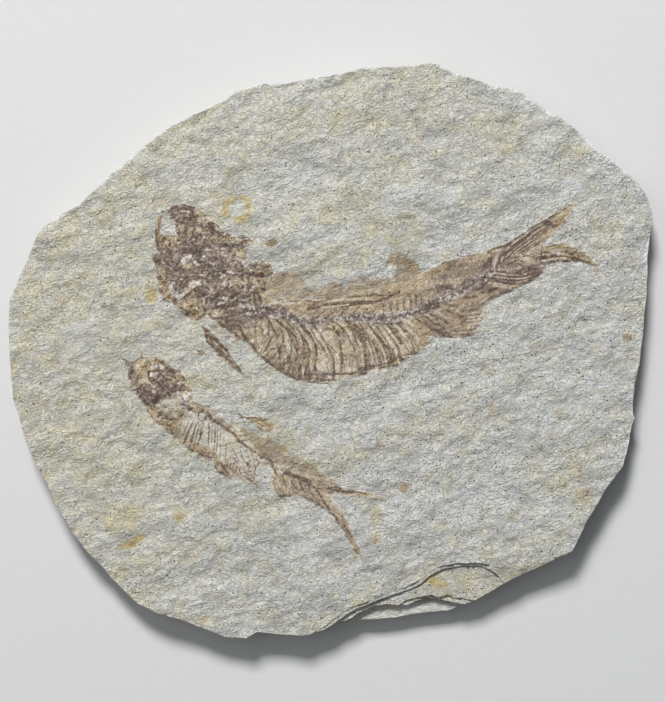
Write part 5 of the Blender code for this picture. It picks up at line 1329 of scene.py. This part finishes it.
def domes(places):
    """The relief of a crushed skull: low domes under a crackled skin."""
    def relief(x, y, inside):
        height = layered(x, y, CRACKLED_SKIN)
        for place in places:
            height = np.maximum(height, place[5] * in_blot(x, y, place, 0.7) + 0.5 * height)
        return height
    return relief


def flat_film(x, y, inside):
    """The relief of a thin film of bone."""
    return layered(x, y, SMOOTH_FILM)


# Random patches in the colours of the two fish: their hues, the mottled tone of their skulls, the crystals
# there, and their fibres.
LARGE_HUES = ((0.14, 1.6, 1.1, 20.0, 92), (0.10, 3.6, 2.4, 20.0, 93))
SMALL_HUES = ((0.14, 1.4, 1.0, 20.0, 192), (0.10, 3.2, 2.4, 20.0, 193))
LARGE_MOTTLE = ((0.34, 0.8, 0.5, 40.0, 95), (0.34, 0.4, 0.3, -30.0, 94))
SMALL_MOTTLE = ((0.32, 0.8, 0.5, 40.0, 195), (0.32, 0.4, 0.3, -30.0, 194))
LARGE_CRYSTALS = (0.5, 0.32, 35.0, 101)
SMALL_CRYSTALS = (0.6, 0.4, 25.0, 201)
VERTEBRAE = (0.6, 0.4, 70.0, 105)
SPINE_CRYSTALS = (0.45, 0.3, 60.0, 102)
BACK_FIBRES = (
    (0.45, (1.6, 0.35, 40.0, 98), (0.1, 0.7), 0.74),
    (0.45, (1.4, 0.4, 38.0, 99), (0.1, 0.7), 0.10),
)
REAR_FIBRES = (
    (0.36, (2.4, 0.35, 25.0, 103), (0.1, 0.7), 0.78),
    (0.45, (2.0, 0.35, 20.0, 104), (0.2, 0.8), 0.10),
)
SMALL_FIBRES = (
    (0.35, (1.6, 0.4, -75.0, 196), (0.0, 0.6), 0.10),
    (0.35, (1.4, 0.35, -60.0, 197), (0.2, 0.8), 0.70),
)

# Where the bodies of the fish begin and end, along X: each end fades in over a span.
LARGE_THROAT = (-22.0, -17.0)
LARGE_REAR = (20.0, 26.0)
SMALL_THROAT = (-33.0, -30.0)
SMALL_REAR = (-17.0, -14.0)


def paint_large_fish(film):
    """The large fish: mottled violet skull, tan body with pale gaps between the ribs, dark fibres."""
    x, y = film.x, film.y
    head = in_blot(x, y, LARGE_HEAD, 0.2)
    film.lay(head, tone=0.60, hue=0.22)
    film.patches(LARGE_PATCHES)
    film.hue = film.hue + layered(x, y, LARGE_HUES)
    rear = ramp(x, *LARGE_REAR)
    body = ramp(x, *LARGE_THROAT) * (1.0 - rear)
    spine_y = np.interp(x, *zip(*LARGE_SPINE))
    below = body * ramp(spine_y - y, 0.3, 1.2)
    deep = np.maximum(spine_y - y, 0.0)
    course = x - 0.95 * deep + (0.035 + 0.02 * ramp(-x, 10.0, 22.0)) * deep ** 2
    ribs = 0.75 * patchy(course / 0.62, y / 5.0, 96) + 0.55 * patchy(course / 0.28 + 40.0, y / 2.5, 97)
    film.lay(below * 0.8 * ramp(-ribs, 0.05, 0.55), tone=0.04, fleck=0.25)
    film.lay(below * 0.85 * ramp(ribs, 0.15, 0.65), tone=0.92, hue=0.34)
    above = body * ramp(y - spine_y, 0.2, 1.0)
    film.fibres(above, BACK_FIBRES)
    film.hue = film.hue - 0.12 * rear
    film.fibres(rear, REAR_FIBRES)
    for lobe, seed in zip(TAIL_RAYS, (106, 108, 110)):
        turn = lobe[4]
        fibres = streaks(x, y, 6.0, 0.32, turn, seed) + 0.5 * streaks(x, y, 3.0, 0.2, turn, seed + 1)
        mask = in_blot(x, y, lobe, 0.3)
        film.lay(0.65 * mask * ramp(fibres, 0.0, 0.5), tone=0.92)
        film.lay(0.55 * mask * ramp(-fibres, 0.1, 0.6), tone=0.12)
    film.lay(0.6 * on_lines(x, y, [LARGE_SPINE], 1.5, 0.8), tone=0.55, hue=0.12)
    beads = ramp(streaks(x, y, *VERTEBRAE), 0.0, 0.4)
    film.lay(0.8 * beads * on_lines(x, y, [LARGE_SPINE], 1.1, 0.5), tone=0.95, hue=0.05)
    film.bones(LARGE_BONES)
    film.grain(0.20, 55.0)
    film.tone = film.tone + head * (0.07 + layered(x, y, LARGE_MOTTLE))
    crystals = ramp(streaks(x, y, *LARGE_CRYSTALS), 0.42, 0.80)
    film.lay(head * crystals * 0.6, fleck=0.7)
    near_spine = on_lines(x, y, [LARGE_SPINE], 2.0, 0.8)
    film.lay(near_spine * ramp(streaks(x, y, *SPINE_CRYSTALS), 0.1, 0.5), fleck=0.55)
    film.crystals(LARGE_FLECKS)


def paint_small_fish(film):
    """The small fish: violet and tan skull, clear body with fine ribs, brown belly, back and tail."""
    x, y = film.x, film.y
    film.lay(ramp(x, *SMALL_THROAT) * (1.0 - ramp(x, *SMALL_REAR)), share=0.85, tone=0.42)
    film.patches(SMALL_PATCHES)
    head = in_blot(x, y, SMALL_SKULL, 0.25)
    film.hue = film.hue + layered(x, y, SMALL_HUES)
    film.fibres(1.0 - head, SMALL_FIBRES)
    film.lay(0.7 * on_lines(x, y, [SMALL_BELLY], 2.0, 1.4), tone=0.62, hue=0.62, share=1.0)
    film.bones(SMALL_BONES, SMALL_BONE_SHARE)
    film.grain(0.30, -40.0, 190)
    film.tone = film.tone + head * (0.09 + layered(x, y, SMALL_MOTTLE))
    crystals = ramp(streaks(x, y, *SMALL_CRYSTALS), 0.5, 0.85)
    film.lay((0.2 + 0.3 * head) * crystals, fleck=0.7)
    film.crystals(SMALL_FLECKS)


def paint_pectoral(film):
    """The pectoral fin: a dark striped leaf."""
    film.lay(np.ones(film.x.shape), tone=0.60, hue=0.42)
    film.bones(PECTORAL_BONES)
    film.grain(0.22, -50.0, 290)


def paint_dorsal(film):
    """The small fish's dorsal fin: an ochre leaf with a dark front edge."""
    film.lay(np.ones(film.x.shape), tone=0.36, hue=0.9)
    film.bones(DORSAL_BONES)
    film.grain(0.22, -25.0, 295)


# ---- Materials

ROCK_ROUGHNESS = 0.92
ROCK_SPECULAR = 0.25
BONE_ROUGHNESS = (0.85, 0.62)       # of the thinnest film and of the darkest bone
BONE_SPECULAR = 0.3
FLOOR_ROUGHNESS = 0.9
FLOOR_SHADE = 0.96          # how dark the darker grain of the floor is, as a share of its colour
SPECK_CELLS = ((1.15, 0.27), (2.1, 0.32))      # for each size of speck: cells to a millimetre, and radius


def put(tree, kind, inputs=None, **settings):
    """A node of a kind in a tree, with its settings, and values or sockets for its inputs."""
    node = tree.nodes.new(kind)
    for name, value in settings.items():
        setattr(node, name, value)
    for key, value in (inputs or {}).items():
        if isinstance(value, bpy.types.NodeSocket):
            tree.links.new(value, node.inputs[key])
        else:
            node.inputs[key].default_value = value
    return node


def mixed(tree, factor, first, second, blend="MIX"):
    """The socket of two colours mixed by a factor."""
    node = put(tree, "ShaderNodeMix", {0: factor, 6: first, 7: second}, data_type="RGBA", blend_type=blend)
    return node.outputs[2]


def counted(tree, operation, first, second=0.0, third=0.0):
    """The socket of a sum, product or other function of values, kept from 0 to 1."""
    node = put(tree, "ShaderNodeMath", {0: first, 1: second, 2: third}, operation=operation, use_clamp=True)
    return node.outputs[0]


def stepped(tree, value, low, high):
    """The socket of a value that goes smoothly from 0 at low to 1 at high."""
    node = put(tree, "ShaderNodeMapRange", {"Value": value, "From Min": low, "From Max": high},
               interpolation_type="SMOOTHSTEP")
    return node.outputs["Result"]


def spread(tree, value, low, high):
    """The socket of a value that goes evenly from low to high, as another goes from 0 to 1."""
    node = put(tree, "ShaderNodeMapRange", {"Value": value, "To Min": low, "To Max": high})
    return node.outputs["Result"]


def noise(tree, place, scale, detail=2.0, roughness=0.5):
    """The socket of a noise texture's value."""
    node = put(tree, "ShaderNodeTexNoise", {"Vector": place, "Scale": scale, "Detail": detail,
                                            "Roughness": roughness})
    return node.outputs["Fac"]


def creased(tree, value, steepness):
    """The socket of rounded lumps parted by creases, from a noise's value."""
    swing = put(tree, "ShaderNodeMath", {0: value, 1: 0.5}, operation="SUBTRACT").outputs[0]
    fold = put(tree, "ShaderNodeMath", {0: swing}, operation="ABSOLUTE").outputs[0]
    return counted(tree, "POWER", counted(tree, "MULTIPLY", fold, steepness), 0.6)


def stored(tree, name):
    """The socket of a value stored at a mesh's vertices."""
    return put(tree, "ShaderNodeAttribute", attribute_name=name).outputs["Fac"]


def opaque(values):
    """A colour with full alpha."""
    return (*values, 1.0)


def group(name, build, inputs, outputs):
    """A shader node group with named sockets, which build fills the first time that it is asked for."""
    if name in bpy.data.node_groups:
        return bpy.data.node_groups[name]
    tree = bpy.data.node_groups.new(name, "ShaderNodeTree")
    for side, sockets in (("INPUT", inputs), ("OUTPUT", outputs)):
        for socket, kind in sockets.items():
            tree.interface.new_socket(socket, in_out=side, socket_type=f"NodeSocket{kind}")
    build(tree, tree.nodes.new("NodeGroupInput"), tree.nodes.new("NodeGroupOutput"))
    return tree


def limestone_grain_and_crease_shade(tree, given, result):
    """The limestone's grain and its painted shade: its colour, grey in the creases of its fine relief, and
    the height of that relief, from a place in millimetres.
    """
    place, grey, pale, cream, chalk, freckle, cream_share, chalk_share = given.outputs[:8]
    turned = put(tree, "ShaderNodeMapping", vector_type="TEXTURE", inputs={
        "Vector": place, "Rotation": (0.0, 0.0, math.radians(LEAN)), "Scale": (1.18, 0.90, 1.0)})
    lean = turned.outputs["Vector"]
    lumps = creased(tree, noise(tree, lean, 0.85, 2.0, 0.5), 5.0)
    crumbs = creased(tree, noise(tree, lean, 1.9, 2.0, 0.6), 4.0)
    fine = noise(tree, lean, 3.3, 2.0, 0.7)
    broad = noise(tree, place, 0.22, 3.0, 0.5)
    patches = noise(tree, lean, 0.26, 3.0, 0.5)
    relief = counted(tree, "MULTIPLY_ADD", crumbs, 0.32, counted(tree, "MULTIPLY", lumps, 0.43))
    relief = counted(tree, "MULTIPLY_ADD", fine, 0.25, relief)
    # Painted shade: the colour goes to grey where the fine relief is low, in its creases, and to pale on
    # the lumps' tops.
    grain = counted(tree, "MULTIPLY_ADD", stepped(tree, fine, 0.3, 0.7), 0.45,
                    counted(tree, "MULTIPLY", stepped(tree, relief, 0.2, 0.75), 0.55))
    stone = mixed(tree, grain, grey, pale)
    smudge = counted(tree, "MULTIPLY", stepped(tree, noise(tree, lean, 0.16, 3.0, 0.6), 0.48, 0.70), 0.60)
    smudged = mixed(tree, smudge, stone, grey)
    warm = counted(tree, "MULTIPLY_ADD", stepped(tree, broad, 0.45, 0.62), 0.55, cream_share)
    blotches = counted(tree, "MULTIPLY_ADD", stepped(tree, patches, 0.40, 0.60), 0.55, 0.45)
    warm = counted(tree, "MULTIPLY", warm, blotches)
    creamy = mixed(tree, warm, smudged, cream, "MULTIPLY")
    freckles = stepped(tree, noise(tree, lean, 0.95, 3.0, 0.6), 0.58, 0.72)
    freckles = counted(tree, "MULTIPLY", freckles, counted(tree, "MULTIPLY_ADD", warm, 0.5, 0.12))
    creamy = mixed(tree, freckles, creamy, freckle, "MULTIPLY")
    cool = counted(tree, "MULTIPLY", chalk_share, stepped(tree, patches, 0.35, 0.6))
    chalky = mixed(tree, counted(tree, "MULTIPLY", cool, 0.7), creamy, chalk)
    tree.links.new(chalky, result.inputs["Color"])
    tree.links.new(relief, result.inputs["Height"])


def ragged_stain(tree, given, result):
    """A ragged stain: where a stored amount is high, the stain shows between the grains."""
    grains = noise(tree, given.outputs["Place"], 1.5, 5.0, 0.75)
    reach = counted(tree, "MULTIPLY", grains, 0.8)
    reach = counted(tree, "MULTIPLY_ADD", given.outputs["Amount"], 0.6, reach)
    stain = counted(tree, "MULTIPLY", stepped(tree, reach, 0.54, 0.94), given.outputs["Amount"])
    tree.links.new(stain, result.inputs["Mask"])


def mineral_specks(tree, given, result):
    """Small dark specks in clumps, more of them where the density is high."""
    clumps = stepped(tree, noise(tree, given.outputs["Place"], 0.55, 2.0), 0.34, 0.66)
    crowd = counted(tree, "MULTIPLY", given.outputs["Density"], clumps)
    masks = []
    for scale, radius in SPECK_CELLS:
        cells = put(tree, "ShaderNodeTexVoronoi", {"Vector": given.outputs["Place"], "Scale": scale})
        colour_parts = put(tree, "ShaderNodeSeparateColor", {"Color": cells.outputs["Color"]})
        size = counted(tree, "MULTIPLY_ADD", colour_parts.outputs["Green"], 0.6 * radius, 0.55 * radius)
        gap = counted(tree, "SUBTRACT", size, cells.outputs["Distance"])
        dot = stepped(tree, gap, 0.0, 0.35 * radius)
        chosen = counted(tree, "LESS_THAN", colour_parts.outputs["Red"], crowd)
        masks.append(counted(tree, "MULTIPLY", dot, chosen))
    tree.links.new(counted(tree, "MAXIMUM", *masks), result.inputs["Mask"])


def rock_colour(tree, place):
    """The stained and speckled limestone in a material, with painted shade in its creases and painted light
    on its rim and low shelf: its colour and its fine height.
    """
    rock = bpy.context.scene.limestone
    grains = group("Limestone grain and crease shade", limestone_grain_and_crease_shade,
                   {"Place": "Vector", "Grey": "Color", "Pale": "Color", "Cream": "Color", "Chalk": "Color",
                    "Freckle": "Color", "Cream Share": "Float", "Chalk Share": "Float"},
                   {"Color": "Color", "Height": "Float"})
    mask = {"Mask": "Float"}
    stains = group("Ragged stain", ragged_stain, {"Place": "Vector", "Amount": "Float"}, mask)
    dots = group("Mineral specks", mineral_specks, {"Place": "Vector", "Density": "Float"}, mask)
    grain = put(tree, "ShaderNodeGroup", node_tree=grains, inputs={
        "Place": place, "Grey": opaque(rock.grey), "Pale": opaque(rock.pale), "Cream": opaque(rock.cream),
        "Chalk": opaque(rock.chalk), "Freckle": opaque(rock.freckle), "Cream Share": stored(tree, "cream"),
        "Chalk Share": stored(tree, "chalk")})
    surface = grain.outputs["Color"]
    for name, tint in (("film stain", rock.film), ("ochre stain", rock.ochre), ("umber stain", rock.umber)):
        stain = put(tree, "ShaderNodeGroup", node_tree=stains,
                    inputs={"Place": place, "Amount": stored(tree, name)})
        surface = mixed(tree, stain.outputs["Mask"], surface, opaque(tint), "MULTIPLY")
    specks = put(tree, "ShaderNodeGroup", node_tree=dots,
                 inputs={"Place": place, "Density": stored(tree, "speckled")})
    surface = mixed(tree, specks.outputs["Mask"], surface, opaque(rock.speck))
    # Painted highlight on the rim's upper side and painted light on the low shelf, in near white.
    surface = mixed(tree, stored(tree, "painted_light"), surface, opaque(rock.painted_light))
    return surface, grain.outputs["Height"]


def new_material(name):
    """A material's tree, its shader, and the place on the object in millimetres."""
    material = bpy.data.materials.new(name)
    material.use_nodes = True
    tree = material.node_tree
    shader = tree.nodes["Principled BSDF"]
    where = put(tree, "ShaderNodeTexCoord").outputs["Object"]
    place = put(tree, "ShaderNodeMapping", {"Vector": where, "Scale": (1000.0, 1000.0, 1000.0)})
    return material, tree, shader, place.outputs["Vector"]


def dress(tree, shader, surface, specular, height, relief):
    """Gives a shader its colour, its gloss and a fine relief from the socket of a height."""
    tree.links.new(surface, shader.inputs["Base Color"])
    shader.inputs["Specular IOR Level"].default_value = specular
    bump = put(tree, "ShaderNodeBump", {"Strength": 1.0, "Distance": relief, "Height": height})
    tree.links.new(bump.outputs["Normal"], shader.inputs["Normal"])


def limestone_material():
    """Matt split limestone."""
    material, tree, shader, place = new_material("limestone")
    surface, height = rock_colour(tree, place)
    shader.inputs["Roughness"].default_value = ROCK_ROUGHNESS
    dress(tree, shader, surface, ROCK_SPECULAR, height, bpy.context.scene.limestone.relief)
    return material


def bone_material():
    """Fossil bone, thin or thick, over limestone."""
    name = "fossil bone"
    if name in bpy.data.materials:
        return bpy.data.materials[name]
    material, tree, shader, place = new_material(name)
    bone = bpy.context.scene.fossil_bone
    rock, height = rock_colour(tree, place)
    grains = noise(tree, place, 2.2, 3.0, 0.7)
    dust = stepped(tree, noise(tree, place, 3.4, 2.0, 0.6), 0.3, 0.7)
    swing = put(tree, "ShaderNodeMath", {0: stepped(tree, grains, 0.32, 0.68), 1: 0.5},
                operation="SUBTRACT").outputs[0]
    tone = counted(tree, "MULTIPLY_ADD", swing, 0.36, stored(tree, "tone"))
    hue = stored(tree, "hue")
    middle = mixed(tree, stepped(tree, hue, 0.1, 0.6), opaque(bone.violet), opaque(bone.tan))
    middle = mixed(tree, stepped(tree, hue, 0.6, 1.0), middle, opaque(bone.ochre))
    pale = mixed(tree, 0.35, opaque(bone.light), middle)
    surface = mixed(tree, stepped(tree, tone, 0.0, 0.5), pale, middle)
    surface = mixed(tree, stepped(tree, tone, 0.5, 1.0), surface, opaque(bone.dark))
    surface = mixed(tree, stored(tree, "fleck"), surface, opaque(bone.fleck))
    shade = spread(tree, dust, 0.62, 1.16)
    grey = put(tree, "ShaderNodeCombineColor", {"Red": shade, "Green": shade, "Blue": shade})
    surface = mixed(tree, 1.0, surface, grey.outputs["Color"], "MULTIPLY")
    surface = mixed(tree, stored(tree, "cover"), rock, surface)
    tree.links.new(spread(tree, tone, *BONE_ROUGHNESS), shader.inputs["Roughness"])
    both = counted(tree, "MULTIPLY_ADD", grains, 0.5, counted(tree, "MULTIPLY", height, 0.5))
    dress(tree, shader, surface, BONE_SPECULAR, both, bone.relief)
    return material


def floor_material():
    """Plain pale paper with a faint grain."""
    material, tree, shader, place = new_material("floor")
    stage = bpy.context.scene.fossil_stage
    tint = tuple(value * FLOOR_SHADE for value in stage.floor)
    surface = mixed(tree, noise(tree, place, 0.4, 3.0), opaque(stage.floor), opaque(tint))
    tree.links.new(surface, shader.inputs["Base Color"])
    shader.inputs["Roughness"].default_value = FLOOR_ROUGHNESS
    return material


# ---- Operators

# Lamps: their place and size in metres, and their share of the main light's power.
LAMPS = (("key", (-0.28, 1.06, 1.20), 0.36, 1.0), ("soft", (-0.5, 0.1, 0.9), 0.8, 0.05))
SKY = (0.88, 0.95, 1.0)
FLOOR_REACH = 1.5           # from the middle of the floor to its edge, in metres
SENSOR = 36.0               # width of the camera's sensor
VIEW_MIDDLE = (332.5, 351)  # the drawing's spot that the camera looks at

LARGE_BACKBONE = (LARGE_SPINE, 52, 0.42)        # a line, its number of vertebrae and their radius
SMALL_BACKBONE = (SMALL_SPINE, 34, 0.24)
SMALL_BONE_SHARE = 0.72     # how thick the small fish's bones are beside the large one's

BONE_SECTION = 8.5          # height at which the outline of a bed of bone is read
BONE_BEDS = {node: section(node, BONE_SECTION) for node in
             ("large_fish", "large_fish_pectoral_fin", "small_fish", "small_fish_dorsal_fin")}


class FOSSIL_OT_slab(bpy.types.Operator):
    """Builds the limestone slab with its split face, broken rim and ledges"""
    bl_idname = "fossil.slab"
    bl_label = "Limestone slab"

    def execute(self, context):
        rock = context.scene.limestone
        cell, wall_cell = rock.cell / MM, rock.wall_cell / MM
        outline = resampled(section("slab", FULL_SECTION), wall_cell)
        low = outline.min(axis=0) - 1.0
        size = outline.max(axis=0) + 1.0 - low
        recess = rock.recess / MM
        slab = relief_block("slab", low, size, cell, lambda x, y: slab_top(x, y, recess), BELOW)
        rim = walled_solid("rim", outline, RIM_HEIGHTS, rim_inset(outline, RIM_SEED))
        combine(slab, rim, "INTERSECT")
        for index, (cut, floor) in enumerate(LEDGES):
            def ledge_floor(x, y, floor=floor, index=index):
                return floor + 0.5 * crumbly(x * 0.8 + 30.0 * index, y) + 0.08 * np.sin(0.3 * x + index)
            above = relief_block("ledge", LEDGE_CORNER, LEDGE_SIZE, cell, ledge_floor, ABOVE)
            edge = resampled(section("slab", cut), wall_cell)
            layer = walled_solid("layer", edge, LAYER_HEIGHTS, rim_inset(edge, LEDGE_SEED + index, 0.0))
            combine(above, layer, "DIFFERENCE")
            combine(slab, above, "DIFFERENCE")

        def hollows(x, y):
            return HOLLOW_DEPTH * ramp(streaks(x, y, *HOLLOWS), 0.0, 1.0)
        under = relief_block("under", low, size, rock.under_cell / MM, hollows, ABOVE)
        combine(slab, under, "INTERSECT")
        paint_rock(slab.data, outline)
        finish_piece(slab, "slab_limestone", "slab", limestone_material())
        return {"FINISHED"}


class FOSSIL_OT_large_fish(bpy.types.Operator):
    """Builds the large fish's bed of bone"""
    bl_idname = "fossil.large_fish"
    bl_label = "Large fish"

    def execute(self, context):
        bones = raised_bones(LARGE_BONES, LARGE_BACKBONE)
        bone_bed("large_fish", domes(LARGE_DOMES), bones, paint_large_fish, bone_material())
        return {"FINISHED"}


class FOSSIL_OT_small_fish(bpy.types.Operator):
    """Builds the small fish's bed of bone"""
    bl_idname = "fossil.small_fish"
    bl_label = "Small fish"

    def execute(self, context):
        bones = raised_bones(SMALL_BONES, SMALL_BACKBONE, SMALL_BONE_SHARE)
        bone_bed("small_fish", domes(SMALL_DOMES), bones, paint_small_fish, bone_material())
        return {"FINISHED"}


class FOSSIL_OT_loose_fins(bpy.types.Operator):
    """Builds the large fish's pectoral fin and the small fish's dorsal fin"""
    bl_idname = "fossil.loose_fins"
    bl_label = "Loose fins"

    def execute(self, context):
        for node, marks, paint in (("large_fish_pectoral_fin", PECTORAL_BONES, paint_pectoral),
                                   ("small_fish_dorsal_fin", DORSAL_BONES, paint_dorsal)):
            bone_bed(node, flat_film, raised_bones(marks), paint, bone_material())
        return {"FINISHED"}


class FOSSIL_OT_stage(bpy.types.Operator):
    """Lays the floor and sets the lights and the camera, which looks straight down on the slab"""
    bl_idname = "fossil.stage"
    bl_label = "Stage"

    def execute(self, context):
        scene = context.scene
        stage = scene.fossil_stage
        bm = bmesh.new()
        bmesh.ops.create_grid(bm, x_segments=8, y_segments=8, size=FLOOR_REACH)
        floor = from_bmesh("floor", bm)
        floor.data.materials.append(floor_material())

        world = bpy.data.worlds.new("studio")
        world.use_nodes = True
        sky = world.node_tree.nodes["Background"]
        sky.inputs["Color"].default_value = opaque(SKY)
        sky.inputs["Strength"].default_value = stage.fill
        scene.world = world

        for name, place, size, power in LAMPS:
            lamp = bpy.data.lights.new(name, "AREA")
            lamp.energy = power * stage.key
            lamp.size = size
            light = add_object(name, lamp)
            light.location = place
            light.rotation_euler = (-Vector(place)).to_track_quat("-Z", "Y").to_euler()

        view = bpy.data.cameras.new("camera")
        view.lens = stage.lens
        view.sensor_width = SENSOR
        view.clip_start = 0.01
        camera = add_object("camera", view)
        distance = stage.field * stage.lens / SENSOR
        middle = SHEET.spot(*VIEW_MIDDLE)
        camera.location = (middle[0] * MM, middle[1] * MM, BEDDING * MM + distance)
        scene.camera = camera
        scene.view_settings.view_transform = "Standard"
        return {"FINISHED"}


class FOSSIL_PT_panel(bpy.types.Panel):
    """The fossil's pieces and settings, in the sidebar"""
    bl_label = "Fossil fish slab"
    bl_idname = "FOSSIL_PT_panel"
    bl_space_type = "VIEW_3D"
    bl_region_type = "UI"
    bl_category = "Fossil"

    def draw(self, context):
        for settings in (context.scene.limestone, context.scene.fossil_bone, context.scene.fossil_stage):
            box = self.layout.box()
            for name in settings.__annotations__:
                box.prop(settings, name)
        for step in STEPS:
            self.layout.operator(step.bl_idname)


STEPS = (FOSSIL_OT_slab, FOSSIL_OT_large_fish, FOSSIL_OT_small_fish, FOSSIL_OT_loose_fins, FOSSIL_OT_stage)
CLASSES = (LimestoneSettings, BoneSettings, StageSettings, *STEPS, FOSSIL_PT_panel)


def register():
    """Registers the classes and the scene's settings."""
    for kind in CLASSES:
        bpy.utils.register_class(kind)
    bpy.types.Scene.limestone = PointerProperty(type=LimestoneSettings)
    bpy.types.Scene.fossil_bone = PointerProperty(type=BoneSettings)
    bpy.types.Scene.fossil_stage = PointerProperty(type=StageSettings)


def unregister():
    """Removes what register added."""
    del bpy.types.Scene.fossil_stage
    del bpy.types.Scene.fossil_bone
    del bpy.types.Scene.limestone
    for kind in reversed(CLASSES):
        bpy.utils.unregister_class(kind)


def main():
    """Builds every piece and the stage."""
    register()
    bpy.ops.fossil.slab()
    bpy.ops.fossil.large_fish()
    bpy.ops.fossil.small_fish()
    bpy.ops.fossil.loose_fins()
    bpy.ops.fossil.stage()


if __name__ == "__main__":
    main()
